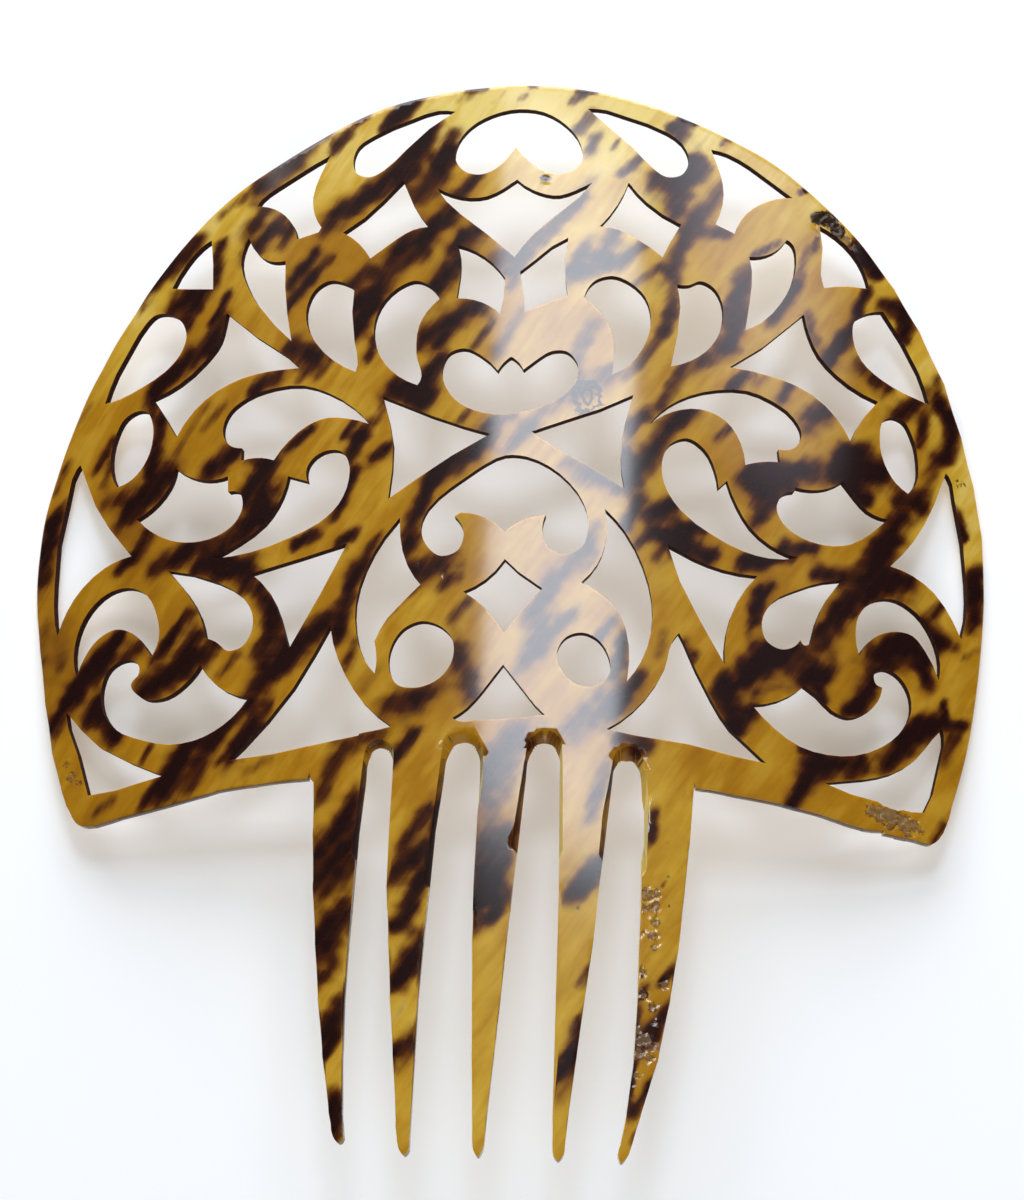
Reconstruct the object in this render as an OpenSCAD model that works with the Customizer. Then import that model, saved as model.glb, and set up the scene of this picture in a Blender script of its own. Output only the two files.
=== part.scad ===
// Mantilla comb in imitation tortoiseshell: a pierced heading on five long tines, sawn from
// one sheet of plastic and bent to a shallow curve. It lies with its rounded front up.
// Its shape is laid out flat on the front skin, before the bend. Across is measured round
// the bend from the middle line, up is measured from the line of the shoulders.

/* [Sheet] */
// Thickness of the sheet
sheet_t = 1.5; // [1:0.1:2.5]
// Radius of the bend, measured to the front skin
bend_r = 200; // [180:5:400]

/* [Heading and tines] */
// Width of the heading at its widest, measured round the bend
heading_w = 178.8; // [140:0.2:190]
// Height of the heading above the line of the shoulders
heading_h = 136; // [110:1:150]
// Length of the longest tine below that line
tine_len = 68; // [50:1:85]

/* [How it lies] */
// Angle by which the heading tips down
lie_tilt = 1; // [0:0.1:15]
// Angle by which the right side tips down
lie_roll = 0.25; // [-1:0.05:1]

/* [Fineness] */
// Largest turn from one flat of a pierced edge to the next, in degrees
edge_turn = 10; // [8:1:20]
// Largest turn from one flat of the outer rim to the next, in degrees
rim_turn = 8; // [6:1:16]

/* [Hidden] */

// Columns of each outline table. A row with a third column is a corner, and the outline
// runs smoothly through every other row.
ACROSS = 0;
UP = 1;
CORNER = 2;

// Sizes at which the tables below were laid out
table_w = 178.8;
table_h = 136;
table_tine = 68;

// Heading, from the middle of the crest down the left side to the first tine, where the saw
// ran a little past the corner. At its widest each side is straight between two corners, and
// the comb rests on these two lengths.
left_side = [
    [0, 136], [-10, 135.3], [-20, 133.5], [-25, 132.2], [-35, 127.8], [-42, 124], [-50, 119.4],
    [-55, 115.9], [-60, 111.5], [-70, 99.8], [-76.6, 90], [-82, 80], [-85.8, 70], [-88.8, 60],
    [-89.82, 53.6, 1], [-90.22, 43.6, 1], [-89.4, 37], [-88.2, 30], [-86.3, 20], [-83.9, 9.8],
    [-82, 4.4], [-78.6, -2.9],
    [-77.1, -4.6], [-75.6, -5.1], [-70.6, -4.6], [-58.8, -2.8], [-50, -1], [-41, -0.2],
    [-33.4, 0.2, 1], [-33.1, 1.3, 1], [-32.8, 0.1, 1], [-32.3, -0.4, 1]
];

// Heading, from the saw cut at the last tine up the right side to the crest
right_side = [
    [34.4, -0.6, 1], [34.4, 0.3, 1], [34.8, -0.8, 1], [40, -1.4], [50, -2.6], [58.1, -4], [65, -5.5],
    [68.6, -5.4, 1], [68.6, -5.9, 1], [75, -6.4], [77.6, -6.6], [79, -5.5], [80.9, -1.5],
    [83.4, 6], [85.5, 15], [87, 25], [88.1, 35], [88.48, 43.6, 1], [88.07, 53.6, 1], [86.6, 62.5],
    [84.1, 72.5], [80.8, 82.5], [75.8, 92.4], [70.8, 100.2], [65, 108], [60, 112.8], [55, 117],
    [50, 120.9], [45, 124], [35, 128.6], [25, 132.3], [15, 134.8], [8, 135.7]
];

// Edges of the tines: how far up, then the left and the right edge of each tine, from the
// left tine to the right one
STATION = 0;
tine_edges = [
    [  0, -32.4, -23.1, -18.2,  -9.3, -2.9, 5.1, 11.0, 20.2, 25.3, 34.4],
    [-10, -32.0, -23.9, -18.4, -10.4, -3.1, 4.3, 11.2, 19.3, 25.5, 33.9],
    [-20, -31.5, -24.3, -18.4, -11.0, -3.3, 3.5, 11.4, 18.3, 25.6, 33.1],
    [-30, -30.6, -24.7, -17.7, -11.6, -3.2, 2.7, 11.4, 17.5, 25.4, 32.2],
    [-40, -29.6, -24.9, -17.0, -12.1, -2.9, 2.0, 11.4, 16.3, 25.3, 30.8],
    [-50, -28.3, -24.8, -16.1, -12.3, -2.6, 1.2, 11.4, 15.2, 24.9, 29.0],
    [-60, -26.7, -24.4, -15.2, -12.5, -2.2, 0.4, 11.4, 14.1, 23.8, 26.2]
];

// Blunt end of each tine, from its left edge round to its right edge
tine_ends = [
    [[-26.1, -63], [-25.5, -64.5], [-24.7, -65.2], [-24.1, -64.7], [-24.1, -63]],
    [[-14.7, -65], [-14.1, -66.8], [-13.4, -67.4], [-12.8, -66.8], [-12.6, -65]],
    [[-2, -64.5], [-1.6, -66.8], [-0.9, -67.6], [-0.3, -66.8], [0.1, -64.5]],
    [[11.5, -65], [11.9, -67.4], [12.6, -68], [13.2, -67.4], [13.7, -64.5]],
    [[23, -64.5], [22.6, -66.9], [23.2, -68], [23.9, -67.3], [25.1, -64]]
];

// Top of each slot between two tines, where the saw turned
slot_tops = [
    [[-22.8, 3.6], [-20.8, 5.9], [-18.6, 4]],
    [[-8.6, 4.4], [-5.9, 6.7], [-3.4, 4.5]],
    [[5.7, 4.4], [8.2, 6.7], [10.6, 4.6]],
    [[20.6, 2.5], [22.5, 3.9], [24.6, 2.8]]
];

// Edge of the bevel filed round the top of each slot, on the front skin
bevel_fronts = [
    [[-18.6, -8, 1], [-18.3, 1], [-18.4, 5.2], [-20.8, 7.2], [-23.1, 5.3], [-23.8, 1],
     [-24.8, -13.5, 1], [-24.3, -15.2, 1]],
    [[-3.4, -8, 1], [-2.3, 0], [-2.8, 5.7], [-5.8, 8.6], [-8.6, 7.5], [-9.9, 0], [-12, -19.4, 1],
     [-11.3, -20.5, 1]],
    [[11.5, -14.8, 1], [12, -13.2, 1], [11.8, -8], [11.6, 1], [10.3, 7.8], [8.4, 9], [5.8, 6.9],
     [4.5, 1], [2.8, -12.8, 1], [3.8, -14, 1]],
    [[25.8, -17.5, 1], [26.5, -16.2, 1], [26.5, -8], [26.3, 0], [24.7, 5.1], [22.9, 6.5], [20.9, 5],
     [19.6, 0], [18, -13.6, 1], [18.7, -15.2, 1]]
];

// The same bevel at the depth of the back skin, a little inside the slot, so that a narrow
// land of the sawn wall stays below it
bevel_backs = [
    [[-18.8, -8, 1], [-18.8, 0], [-19.2, 3.8], [-20.8, 5.3], [-22.3, 3.4], [-22.9, -2],
     [-23.7, -14.8, 1]],
    [[-3.6, -8, 1], [-3.5, 0], [-4, 4.1], [-5.9, 6.1], [-8.1, 4.2], [-9, -1], [-10.6, -19.8, 1]],
    [[10.9, -14, 1], [10.6, 0], [10.1, 4.2], [8.2, 6.1], [6.2, 4], [5.3, -3], [4.4, -13.3, 1]],
    [[25.1, -17, 1], [24.8, 0], [24, 2.5], [22.5, 3.3], [21.1, 2.1], [20.3, -3], [19.3, -14.8, 1]]
];

// Pierced openings on and beside the middle line, from the crest down
middle_openings = [
    // Heart under the crest, and the winged leaf below it
    [[-0.3, 123, 1], [-1.7, 120.9], [-4, 118.5], [-6.9, 117.4], [-9.6, 118.1], [-11.4, 120.5],
     [-11.3, 123.3], [-8.8, 127.3], [-5, 129.7], [0, 130.9], [4.6, 130.3], [8.8, 127.7],
     [11.6, 123.7], [11.8, 120], [10.3, 118.3], [7.8, 117.4], [5, 118], [1.9, 120.3]],
    [[-14.6, 114.8, 1], [-11.9, 113.4], [-8.5, 112.6], [-5.3, 112.9], [-2.4, 114.4], [0.1, 116.3, 1],
     [3, 114.2], [8, 113.1], [10.9, 114.2], [13.9, 115.9, 1], [11.6, 112.8], [7.2, 108.8],
     [3.5, 105.2], [0.1, 100.4, 1], [-5.3, 105.3], [-10, 109.2], [-12.8, 112]],
    // Pair of small flags
    [[-10.4, 103, 1], [-7.2, 101.7], [-3.9, 99.2], [-1.5, 96.2, 1], [-1.7, 92.2], [-2.2, 88.9, 1],
     [-5.6, 91.3], [-10.2, 92.2, 1], [-9.7, 97.2], [-9.8, 100.9]],
    [[1.2, 97.5, 1], [3.8, 99.8], [6.9, 102.7], [9.8, 104.5, 1], [9.3, 99.5], [10, 92.7, 1],
     [6.7, 91.4], [2.3, 89.4, 1], [1.8, 93.8]],
    // Bow
    [[-2.2, 77.6, 1], [-5.3, 80.6], [-8.4, 82.1], [-11, 81.3], [-12.3, 78.3], [-11.4, 74.1],
     [-8.8, 71.1], [-4.7, 69.3], [-0.6, 68.9], [3.4, 69.7], [9.7, 72.8], [12.1, 76], [12, 79.4],
     [10, 81.6], [7.5, 81.6], [4.5, 79.6], [2.4, 77.8, 1], [0.9, 79.8], [0.1, 80.3], [-0.7, 79.7]],
    // Pair of sails
    [[-23, 73, 1], [-13.8, 68.8], [-8, 66.6], [-3.2, 65.1, 1], [-10, 60.9], [-16.3, 56.4],
     [-21.2, 52.8, 1], [-20.7, 58.5], [-20.7, 63.4], [-21.6, 68]],
    [[4.2, 65.6, 1], [10.6, 68.1], [16.3, 70.3], [22.3, 73.4, 1], [20.9, 67.7], [20.3, 61.3],
     [21.1, 54.9, 1], [16.3, 58], [10, 61.6], [6.9, 63.7]],
    // Arch with rolled ends
    [[-9, 49.1, 1], [-8, 49.8, 1], [-3.8, 48.9], [-1.9, 47.8], [0, 46, 1], [2.8, 48.2],
     [7.2, 49.4, 1], [6.7, 46.1], [8, 43], [10.9, 41.9], [13.9, 43.6], [14.8, 47.1], [13.9, 51.8],
     [11.3, 55.7], [7.5, 58.9], [3.4, 60.7], [-0.3, 60.9], [-5, 58.4], [-10, 54.6], [-13.8, 50.7],
     [-15, 47.4], [-14.1, 43.9], [-11.3, 41.5], [-8.4, 42.4], [-7.3, 45.8]],
    // Diamond, and the fan at the foot of the heading
    [[0.2, 40.8, 1], [2.8, 38.3], [7, 35.3, 1], [3.8, 31.4], [0.5, 26.7, 1], [-3.1, 31.5],
     [-7, 34.6, 1], [-3.1, 36.9]],
    [[0.5, 20.8, 1], [3.9, 16.4], [6.3, 13.3], [8.1, 11.5, 1], [3.1, 10.8], [-3.8, 10.3],
     [-7, 10.2], [-8.1, 10.8, 1], [-5.6, 12.6], [-2.8, 16]],
    // Pair of curved leaves
    [[-18.9, 49.1, 1], [-21.6, 45.5], [-24.7, 39.3], [-26.2, 33], [-25.9, 27.4], [-24.2, 22.1],
     [-22.2, 19.4, 1], [-22, 22], [-22.5, 25.5, 1], [-20.3, 29.9], [-17.3, 33.3], [-14.6, 36.2, 1],
     [-17.2, 39.9], [-18.7, 45.5]],
    [[17.7, 50.9, 1], [21.3, 46.8], [24.7, 40.2], [26.4, 33.6], [26.4, 28], [24.7, 22.1],
     [22.3, 18.3, 1], [22.6, 22.1], [21.9, 28], [19.9, 32.2], [16.9, 34.9], [13.8, 36.6, 1],
     [16.6, 40.2], [18.1, 45.2]],
    // Pair of eyes
    [[-14.1, 29.1], [-17.3, 27.8], [-19.3, 24.8], [-19.7, 20.5], [-18.1, 17.2], [-14.4, 16.6],
     [-10.6, 18.3], [-8.4, 22], [-8.7, 25.8], [-11.4, 28.4]],
    [[14.5, 27.1], [11.6, 26.3], [9.9, 23.3], [10.8, 19.9], [13.6, 17.3], [16.8, 17.2],
     [19.2, 19.5], [18.8, 23.3], [16.8, 26.1]]
];

// Pierced openings of the left wing, from the crest down
left_openings = [
    [[-11.8, 130.6, 1], [-15, 130.9], [-20, 129.3], [-27, 126.3], [-29.8, 124.3], [-30.7, 121.5],
     [-29.9, 118.7], [-27.3, 117.8], [-24.8, 119], [-20.9, 122.9], [-16.6, 127.2], [-14, 129.1]],
    [[-21.1, 116.7, 1], [-19.1, 111.9], [-15.9, 106.9, 1], [-18.8, 106.4], [-21.6, 104.8],
     [-26.6, 101, 1], [-28.8, 104.1], [-32, 106.7, 1], [-28.1, 109.4], [-24.7, 112.7]],
    [[-49, 113.8, 1], [-48.1, 115.2], [-45.6, 117], [-38.1, 121.4], [-35.2, 122.9, 1],
     [-36.8, 119.2], [-38.1, 114.5], [-37.6, 110.8], [-36.2, 108.1, 1], [-36.7, 107.2, 1],
     [-40.8, 106.1, 1], [-41.8, 109.2], [-44.2, 112], [-46.8, 113.4]],
    [[-50.3, 107.5, 1], [-48.5, 104.2], [-46.2, 102.3], [-42.8, 101.9, 1], [-42.6, 96.5],
     [-41.9, 91], [-40.8, 85.4, 1], [-44.1, 88.8], [-48, 93.8], [-50.3, 98.1], [-51.5, 102]],
    [[-34.1, 97], [-36.4, 95.8], [-38.1, 92.4], [-38, 88.5], [-36.1, 84.6], [-32.6, 80.8],
     [-28.3, 78.2, 1], [-28, 79.6], [-28.8, 84.4], [-29.5, 90.3], [-29.3, 95.1, 1], [-31.4, 96.4]],
    [[-17.7, 96], [-21.3, 94.6], [-24.2, 91.2], [-25.3, 86.8], [-24.4, 82.1], [-21.8, 78.2],
     [-16.8, 75, 1], [-16.3, 75.8], [-17.2, 81.3], [-16.9, 86.9], [-13.3, 92.2, 1], [-15.2, 94.8]],
    [[-57.8, 108, 1], [-57.2, 103], [-56.9, 97.8, 1], [-61.2, 98.4], [-65.3, 99.1, 1],
     [-62.6, 103.8], [-59.9, 106.7]],
    [[-77.9, 77.6, 1], [-75.9, 83.4], [-73.1, 88.4], [-70.2, 92.8], [-68.6, 94.1], [-65.3, 93.8],
     [-62.7, 91.7], [-61.7, 88.8], [-62.8, 85.2], [-65.6, 82.2], [-70, 79.8], [-74.5, 78.1]],
    [[-53.8, 92.5, 1], [-47.8, 87.1], [-41.7, 82.5], [-39, 79.8, 1], [-44.4, 79.7], [-50, 78.8],
     [-55, 76.7], [-59.1, 73.4], [-62.4, 68.5, 1], [-65, 72.8], [-67.8, 77, 1], [-62.5, 79.2],
     [-57.8, 83], [-54.9, 86.9], [-54.2, 90]],
    [[-70.6, 75], [-73.2, 74], [-75.2, 70.3], [-75.8, 66], [-75.2, 62.5], [-74, 60.2, 1],
     [-70.9, 61.4], [-68.1, 65], [-67.2, 69.1], [-67.6, 72.4], [-68.8, 74.5]],
    [[-53.1, 69.6], [-52, 72.3], [-49, 74.6], [-43.5, 76.2], [-38, 76.2], [-33.5, 74.5],
     [-28.3, 71], [-25.3, 67.7, 1], [-29.4, 69], [-33.1, 69.4], [-36.9, 68.1], [-40.2, 65.4],
     [-42.9, 61.8, 1], [-46.5, 62.6], [-49.2, 62.3, 1], [-49.2, 64.8, 1], [-51.7, 65.7],
     [-52.9, 67.4]],
    [[-62.2, 62.3, 1], [-59.3, 60.3], [-55.6, 59.1], [-51.6, 59.5, 1], [-51.4, 56.4, 1],
     [-49.2, 56], [-48.4, 53.6], [-49.7, 50.2], [-53.1, 47.9], [-57.6, 47.2], [-62.5, 48.2],
     [-66.5, 50.5], [-69.4, 53.2, 1], [-65.4, 55.9], [-63.2, 58.8]],
    [[-32.2, 63], [-35.1, 61.9], [-36.5, 59.8], [-36.3, 57.1, 1], [-40, 58.4, 1], [-40.9, 54.7],
     [-44, 49.5], [-48.8, 46], [-53.9, 43.6, 1], [-46.3, 44.1], [-39.1, 46.3], [-33.8, 48.8],
     [-30.3, 52.2], [-28.6, 57], [-28.9, 60.7], [-30.3, 62.6]],
    [[-82.3, 66.1, 1], [-83.1, 65.2], [-84.6, 59], [-86, 51], [-86, 42.5], [-85.3, 35],
     [-84.5, 32.4, 1], [-82.8, 37.1], [-80, 41], [-75.5, 44.4], [-70, 46, 1], [-75, 52.1],
     [-78.3, 57.1], [-80.6, 62.2]],
    [[-46, 39.9, 1], [-36.6, 42.2], [-28.3, 44.5, 1], [-32.8, 35], [-38.1, 24.9, 1],
     [-40, 31.1], [-42.4, 36.1]],
    [[-62.2, 42.1, 1], [-57.5, 40.9], [-52.2, 38.7], [-47.5, 35.6], [-45.4, 32.3], [-45.4, 28.4],
     [-47.3, 25.8], [-49.6, 25.4], [-52.1, 27.4], [-54.1, 28.3, 1], [-55.3, 32.4], [-58.3, 37.4]],
    [[-79.7, 23.8, 1], [-80.5, 26.5], [-80.2, 32.1], [-78.1, 36.4], [-74.4, 39.3], [-70, 39.8],
     [-66.2, 37.8], [-64.1, 34], [-63.3, 28.9], [-64.5, 25.8, 1], [-66.3, 28.3], [-68.7, 30.8],
     [-72.2, 32], [-75.6, 30.7], [-78.3, 27.4]],
    [[-70.6, 25.7], [-73, 24.4], [-74.3, 20.9], [-73.5, 16.1], [-71, 12.8], [-65, 9.9],
     [-60, 8.6], [-55, 8.9], [-49.7, 11.3], [-45.2, 16, 1], [-49.7, 17.8], [-54.8, 23.2, 1],
     [-57.8, 19.6], [-61.3, 17.6], [-65.3, 17.8], [-68.2, 21.1], [-67, 22.4, 1], [-66.8, 24],
     [-68.5, 25.6]],
    [[-81.4, 17.4, 1], [-80.7, 14.2], [-78.3, 8.8], [-75.5, 0.7, 1], [-70, 1], [-60.7, 2.8, 1],
     [-67.3, 5.9], [-73.8, 9.6], [-77.8, 13.3]],
    [[-30.7, 28.9, 1], [-33.4, 23.6], [-36.9, 17.4], [-41.3, 11.6], [-45.6, 6.9], [-48.1, 4.6, 1],
     [-40, 5.2], [-25, 7.8], [-18.8, 9.4, 1], [-24.1, 14.1], [-27.5, 19.3], [-30, 25.5]]
];

// Pierced openings of the right wing, from the crest down. They pair with those of the left
// wing but were sawn by hand, so each has its own shape.
right_openings = [
    [[12.7, 131.2, 1], [16.3, 131], [20, 129.8], [27.5, 127], [30.2, 125], [31.6, 121.6],
     [30.3, 118.4], [27.5, 117.8], [25, 119.4], [21.3, 123.3], [16.6, 127.5]],
    [[20.6, 116.2, 1], [24, 112.3], [30.4, 108.2, 1], [28.4, 104.4], [27.1, 101.3, 1],
     [22.2, 104.8], [19, 106.4], [15.5, 107, 1], [18.7, 111.6]],
    [[35.7, 124.1, 1], [38.8, 123.5], [43.1, 121.3], [51.1, 115.8, 1], [48.1, 115.2],
     [44.7, 113.5], [41.6, 110.3], [40.4, 107.2, 1], [36.7, 108.8, 1], [38, 112.9],
     [38, 117.1], [36.9, 120.9]],
    [[43.1, 102.8, 1], [46.6, 103.6], [50.1, 107.1, 1], [50.9, 106.6], [51.9, 102.5],
     [51.1, 98.2], [49.1, 94.1], [45.6, 89.8], [42.5, 87.9, 1], [43.3, 93.9], [43.6, 100]],
    [[34.2, 97], [31.9, 96], [29.8, 96, 1], [30.5, 91.5], [30.1, 86], [29, 79.5, 1],
     [32.5, 80.8], [36.3, 84.1], [38.3, 89.1], [38.1, 93.1], [36.3, 96.1]],
    [[18, 97], [15, 96], [13, 92.4, 1], [15.9, 89.7], [18.2, 85.5], [18.6, 81.2], [18.2, 77.2, 1],
     [21.4, 79.3], [24.5, 84.4], [25.2, 89.1], [24.1, 93], [21.3, 95.8]],
    [[56.3, 110.7, 1], [59.7, 108.9], [63.9, 104.6], [65.9, 99.3, 1], [61.9, 99.2],
     [57.2, 98.2, 1], [56.6, 100.8], [56.9, 106.3]],
    [[68.6, 95.1, 1], [65.3, 94.1], [63.1, 92.3], [62.8, 88.5], [64.4, 84.5], [68.2, 81.3],
     [72.5, 79.3], [77.6, 77.8, 1], [75.6, 83.8], [72.4, 89.6]],
    [[39.7, 80.2, 1], [45.8, 84.8], [53.4, 92.3, 1], [54.4, 88.4], [56.3, 84.4], [59.7, 80.9],
     [67.6, 76.8, 1], [65.1, 73.6], [62.3, 68.1, 1], [59.7, 72.3], [55, 76.4], [49.1, 78.8],
     [44, 79.8]],
    [[70.8, 74.2], [68.7, 73.2], [67.9, 69.4], [68.8, 64.7], [71, 61.2], [73.3, 59.5, 1],
     [74.9, 61.6], [75.3, 66.3], [74.2, 71], [72.5, 73.7]],
    [[25.3, 67.7, 1], [27.5, 70.5], [32.5, 73.9], [37.8, 75.5], [43, 75.8], [47.5, 74.3],
     [51.6, 71.4], [53.1, 68.1], [51.9, 65.6], [48.8, 64.9, 1], [49.1, 62.4, 1], [45.8, 62.1],
     [42.8, 61.2, 1], [41.9, 65.3], [39.1, 69.5], [34.4, 71.4], [29.4, 70.5]],
    [[60.9, 60, 1], [58.1, 58.3], [52, 57.8, 1], [51.8, 56.9, 1], [49.8, 56.1], [48.6, 53.6],
     [49.8, 50.5], [53.3, 48.1], [57.7, 47.2], [62.4, 48], [66.3, 50.7], [69.4, 53.8, 1],
     [65.6, 54.9], [63.3, 57.1]],
    [[32.2, 65.5], [29.2, 64.2], [27.7, 60.5], [28.2, 56.3], [31.3, 51.3], [36.9, 47.1],
     [42.6, 44.4], [47.2, 43.5], [52.6, 44.1, 1], [47.5, 46], [43.8, 49.1], [41.4, 53],
     [39.5, 57.8, 1], [38, 56.2, 1], [37.3, 59.7], [35.3, 63.6]],
    [[80.8, 64.8, 1], [78.4, 58], [74.4, 50.3], [69.9, 44.8, 1], [74.1, 43.6], [78.4, 40.8],
     [81.9, 36.1], [83.6, 32.8, 1], [84.6, 37], [84.7, 44], [84, 51.8], [82.5, 59.7],
     [81.4, 64.2]],
    [[29, 44.6, 1], [33.8, 42.2], [39, 40.5], [45.2, 39.9, 1], [41.6, 34.6], [39.7, 28.3],
     [39.5, 22.6, 1], [35, 30.5], [31.3, 37.7]],
    [[60.6, 40.8, 1], [57.5, 40.1], [52.5, 38], [48.1, 35.3], [46.1, 31.2], [47, 27.7],
     [49.8, 26.4], [51.9, 27.1], [53.1, 28.5, 1], [53.9, 27.6], [55, 28.2, 1], [55.9, 32.1],
     [58.1, 37.1]],
    [[70.3, 38.5], [66.5, 37.5], [63.9, 34.4], [63.3, 30.7], [64, 26.8, 1], [66.6, 30.5],
     [70, 32.2], [74.1, 32], [76.6, 29.3], [79.1, 24.3, 1], [79.4, 27.4], [78, 32.4], [75, 36.4]],
    [[68.8, 24.9], [66.8, 23.7], [67.1, 21.9], [68.3, 21.4, 1], [67.5, 18.7], [65, 16.1],
     [62.2, 14.9], [59, 15.8], [56.3, 18.3], [53.8, 20, 1], [51.3, 17.8], [44.5, 15.4, 1],
     [48.4, 11.5], [53.1, 8.5], [58.1, 7.5], [63.1, 7.9], [68.1, 10.1], [71.6, 13.2],
     [73.7, 17.2], [73.3, 21.3], [71, 24.2]],
    [[79.7, 15.1, 1], [80, 14], [79.2, 8.7], [77.8, 2.6], [76.1, -1, 1], [73.8, -1.2, 1],
     [72.2, -1, 1], [71.1, -1.3, 1], [68.5, -0.7, 1], [67.5, -0.1, 1], [62.5, 0.7],
     [57.6, 2.2, 1], [65, 3.7], [70, 5.4], [74.7, 8.8], [77.8, 12.9]],
    [[31.3, 27.9, 1], [30.2, 26.3], [28.9, 21.1], [25.6, 15.2], [21.3, 10.8], [18.9, 9.2, 1],
     [24.4, 8.2], [33.4, 7.2], [41.9, 5.5], [47.1, 4.8, 1], [43.8, 7.7], [40.6, 10.5],
     [37.2, 15.7], [34.4, 21.1], [32.1, 26.4]]
];
openings = concat(middle_openings, left_openings, right_openings);

// Outer outline, anticlockwise: crest, left side, each tine with the slot that follows it,
// right side
tines = len(tine_ends);
stations = len(tine_edges);
function edge_row(i, column) = [tine_edges[i][column], tine_edges[i][STATION]];
function edge_down(column, first) = [for (i = [first : stations - 1]) edge_row(i, column)];
function edge_up(column, last) = [for (i = [stations - 1 : -1 : last]) edge_row(i, column)];
function tine_outline(i) = concat(
    edge_down(2 * i + 1, i == 0 ? 1 : 0), tine_ends[i],
    edge_up(2 * i + 2, i == tines - 1 ? 1 : 0), i < tines - 1 ? slot_tops[i] : []);
outline = concat(left_side, [for (i = [0 : tines - 1], row = tine_outline(i)) row], right_side);

// A table row at the chosen size of the comb
function sized(row) = [row[ACROSS] * heading_w / table_w,
    row[UP] * (row[UP] > 0 ? heading_h / table_h : tine_len / table_tine)];

// Smooth closed curve through the rows of a table, broken at its corners. The direction at a
// smooth row is that of the parabola through it and its neighbours.
function turns(row) = row[CORNER] == 1;
function along(a, b) = (sized(b) - sized(a)) / norm(sized(b) - sized(a));
function through(a, b, c) =
    let (ab = norm(sized(b) - sized(a)), bc = norm(sized(c) - sized(b)))
    (along(a, b) * bc + along(b, c) * ab) / (ab + bc);
function leaving(a, b, c, d) =
    !turns(b) ? through(a, b, c) : turns(c) ? along(b, c) : 2 * along(b, c) - through(b, c, d);
function arriving(a, b, c, d) =
    !turns(c) ? through(b, c, d) : turns(b) ? along(b, c) : 2 * along(b, c) - through(a, b, c);
function angle_between(p, q) = acos(min(1, max(-1, p * q / (norm(p) * norm(q)))));
function piece_of_curve(a, b, c, d, turn) =
    let (start = leaving(a, b, c, d), end = arriving(a, b, c, d), span = norm(sized(c) - sized(b)),
        bow = angle_between(start, along(b, c)) + angle_between(along(b, c), end),
        flats = max(1, ceil(bow / turn)))
    [for (i = [0 : flats - 1]) let (s = i / flats)
        sized(b) * (2 * s ^ 3 - 3 * s ^ 2 + 1) + start * span * (s ^ 3 - 2 * s ^ 2 + s)
        + sized(c) * (3 * s ^ 2 - 2 * s ^ 3) + end * span * (s ^ 3 - s ^ 2)];
function curve(rows, turn) = let (n = len(rows))
    [for (i = [0 : n - 1], p = piece_of_curve(
        rows[(i + n - 1) % n], rows[i], rows[(i + 1) % n], rows[(i + 2) % n], turn)) p];
rim = curve(outline, rim_turn);

// Angle round the bend of a distance across
function bend_angle(across) = across * 180 / (PI * bend_r);

// Where a point of the flat layout lies once the sheet is bent and the comb lies at rest,
// before it is set down on the surface
function bent(p, deep) = let (a = bend_angle(p[ACROSS]))
    [(bend_r - deep) * sin(a), p[UP], (bend_r - deep) * cos(a) - bend_r];
function rolled(p) = [p.x * cos(lie_roll) + p.z * sin(lie_roll), p.y,
    p.z * cos(lie_roll) - p.x * sin(lie_roll)];
function tipped(p) = [p.x, p.y * cos(lie_tilt) + p.z * sin(lie_tilt),
    p.z * cos(lie_tilt) - p.y * sin(lie_tilt)];
lying = [for (p = rim, deep = [0, sheet_t]) tipped(rolled(bent(p, deep)))];
set_down = [for (axis = [0, 1]) (min([for (p = lying) p[axis]]) + max([for (p = lying) p[axis]])) / 2];
lowest = min([for (p = lying) p.z]);

// Cutters reach this far past what they cut
clear = 3;

// Sheet bent round its axis: the axis is at the origin and lies along Y
module bent_sheet() {
    reach = tine_len + heading_h + 2 * clear;
    translate([0, -tine_len - clear, 0]) rotate([-90, 0, 0]) difference() {
        cylinder(r = bend_r, h = reach, $fn = 360);
        translate([0, 0, -clear])
            cylinder(r = bend_r - sheet_t, h = reach + 2 * clear, $fn = 360);
    }
}

// Wedge with the outer outline, whose walls all point at the axis of the bend
module outline_wedge() {
    inner = bend_r * cos(bend_angle(heading_w / 2)) - 4 * clear;
    outer = bend_r + clear;
    translate([0, 0, inner])
        linear_extrude(height = outer - inner, scale = [outer / inner, 1], slices = 1)
        polygon([for (p = rim) [inner * tan(bend_angle(p[ACROSS])), p[UP]]]);
}

// Centre of a table's rows, across
function middle_of(rows) = let (across = [for (row = rows) sized(row)[ACROSS]])
    (min(across) + max(across)) / 2;

// Flat points as a saw sees them that cuts straight through the sheet at the place mid
function seen_from(points, mid) =
    [for (p = points) [bend_r * sin(bend_angle(p[ACROSS] - mid)), p[UP]]];

// One pierced opening, cut square to the sheet at its middle
module opening_cutter(rows) {
    mid = middle_of(rows);
    rotate([0, bend_angle(mid), 0]) translate([0, 0, bend_r - sheet_t - clear])
        linear_extrude(height = sheet_t + 2 * clear)
            polygon(seen_from(curve(rows, edge_turn), mid));
}

// Bevel round the top of one slot. Its two outlines stand a little off the front and the back
// skin, so that no edge of the cutter grazes the sheet.
module bevel_cutter(front, back) {
    mid = middle_of(front);
    off = 0.12;
    thin = 0.01;
    rotate([0, bend_angle(mid), 0]) hull() {
        translate([0, 0, bend_r + off]) linear_extrude(height = thin)
            polygon(seen_from(curve(front, edge_turn), mid));
        translate([0, 0, bend_r - sheet_t - off]) linear_extrude(height = thin)
            polygon(seen_from(curve(back, edge_turn), mid));
    }
}

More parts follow.
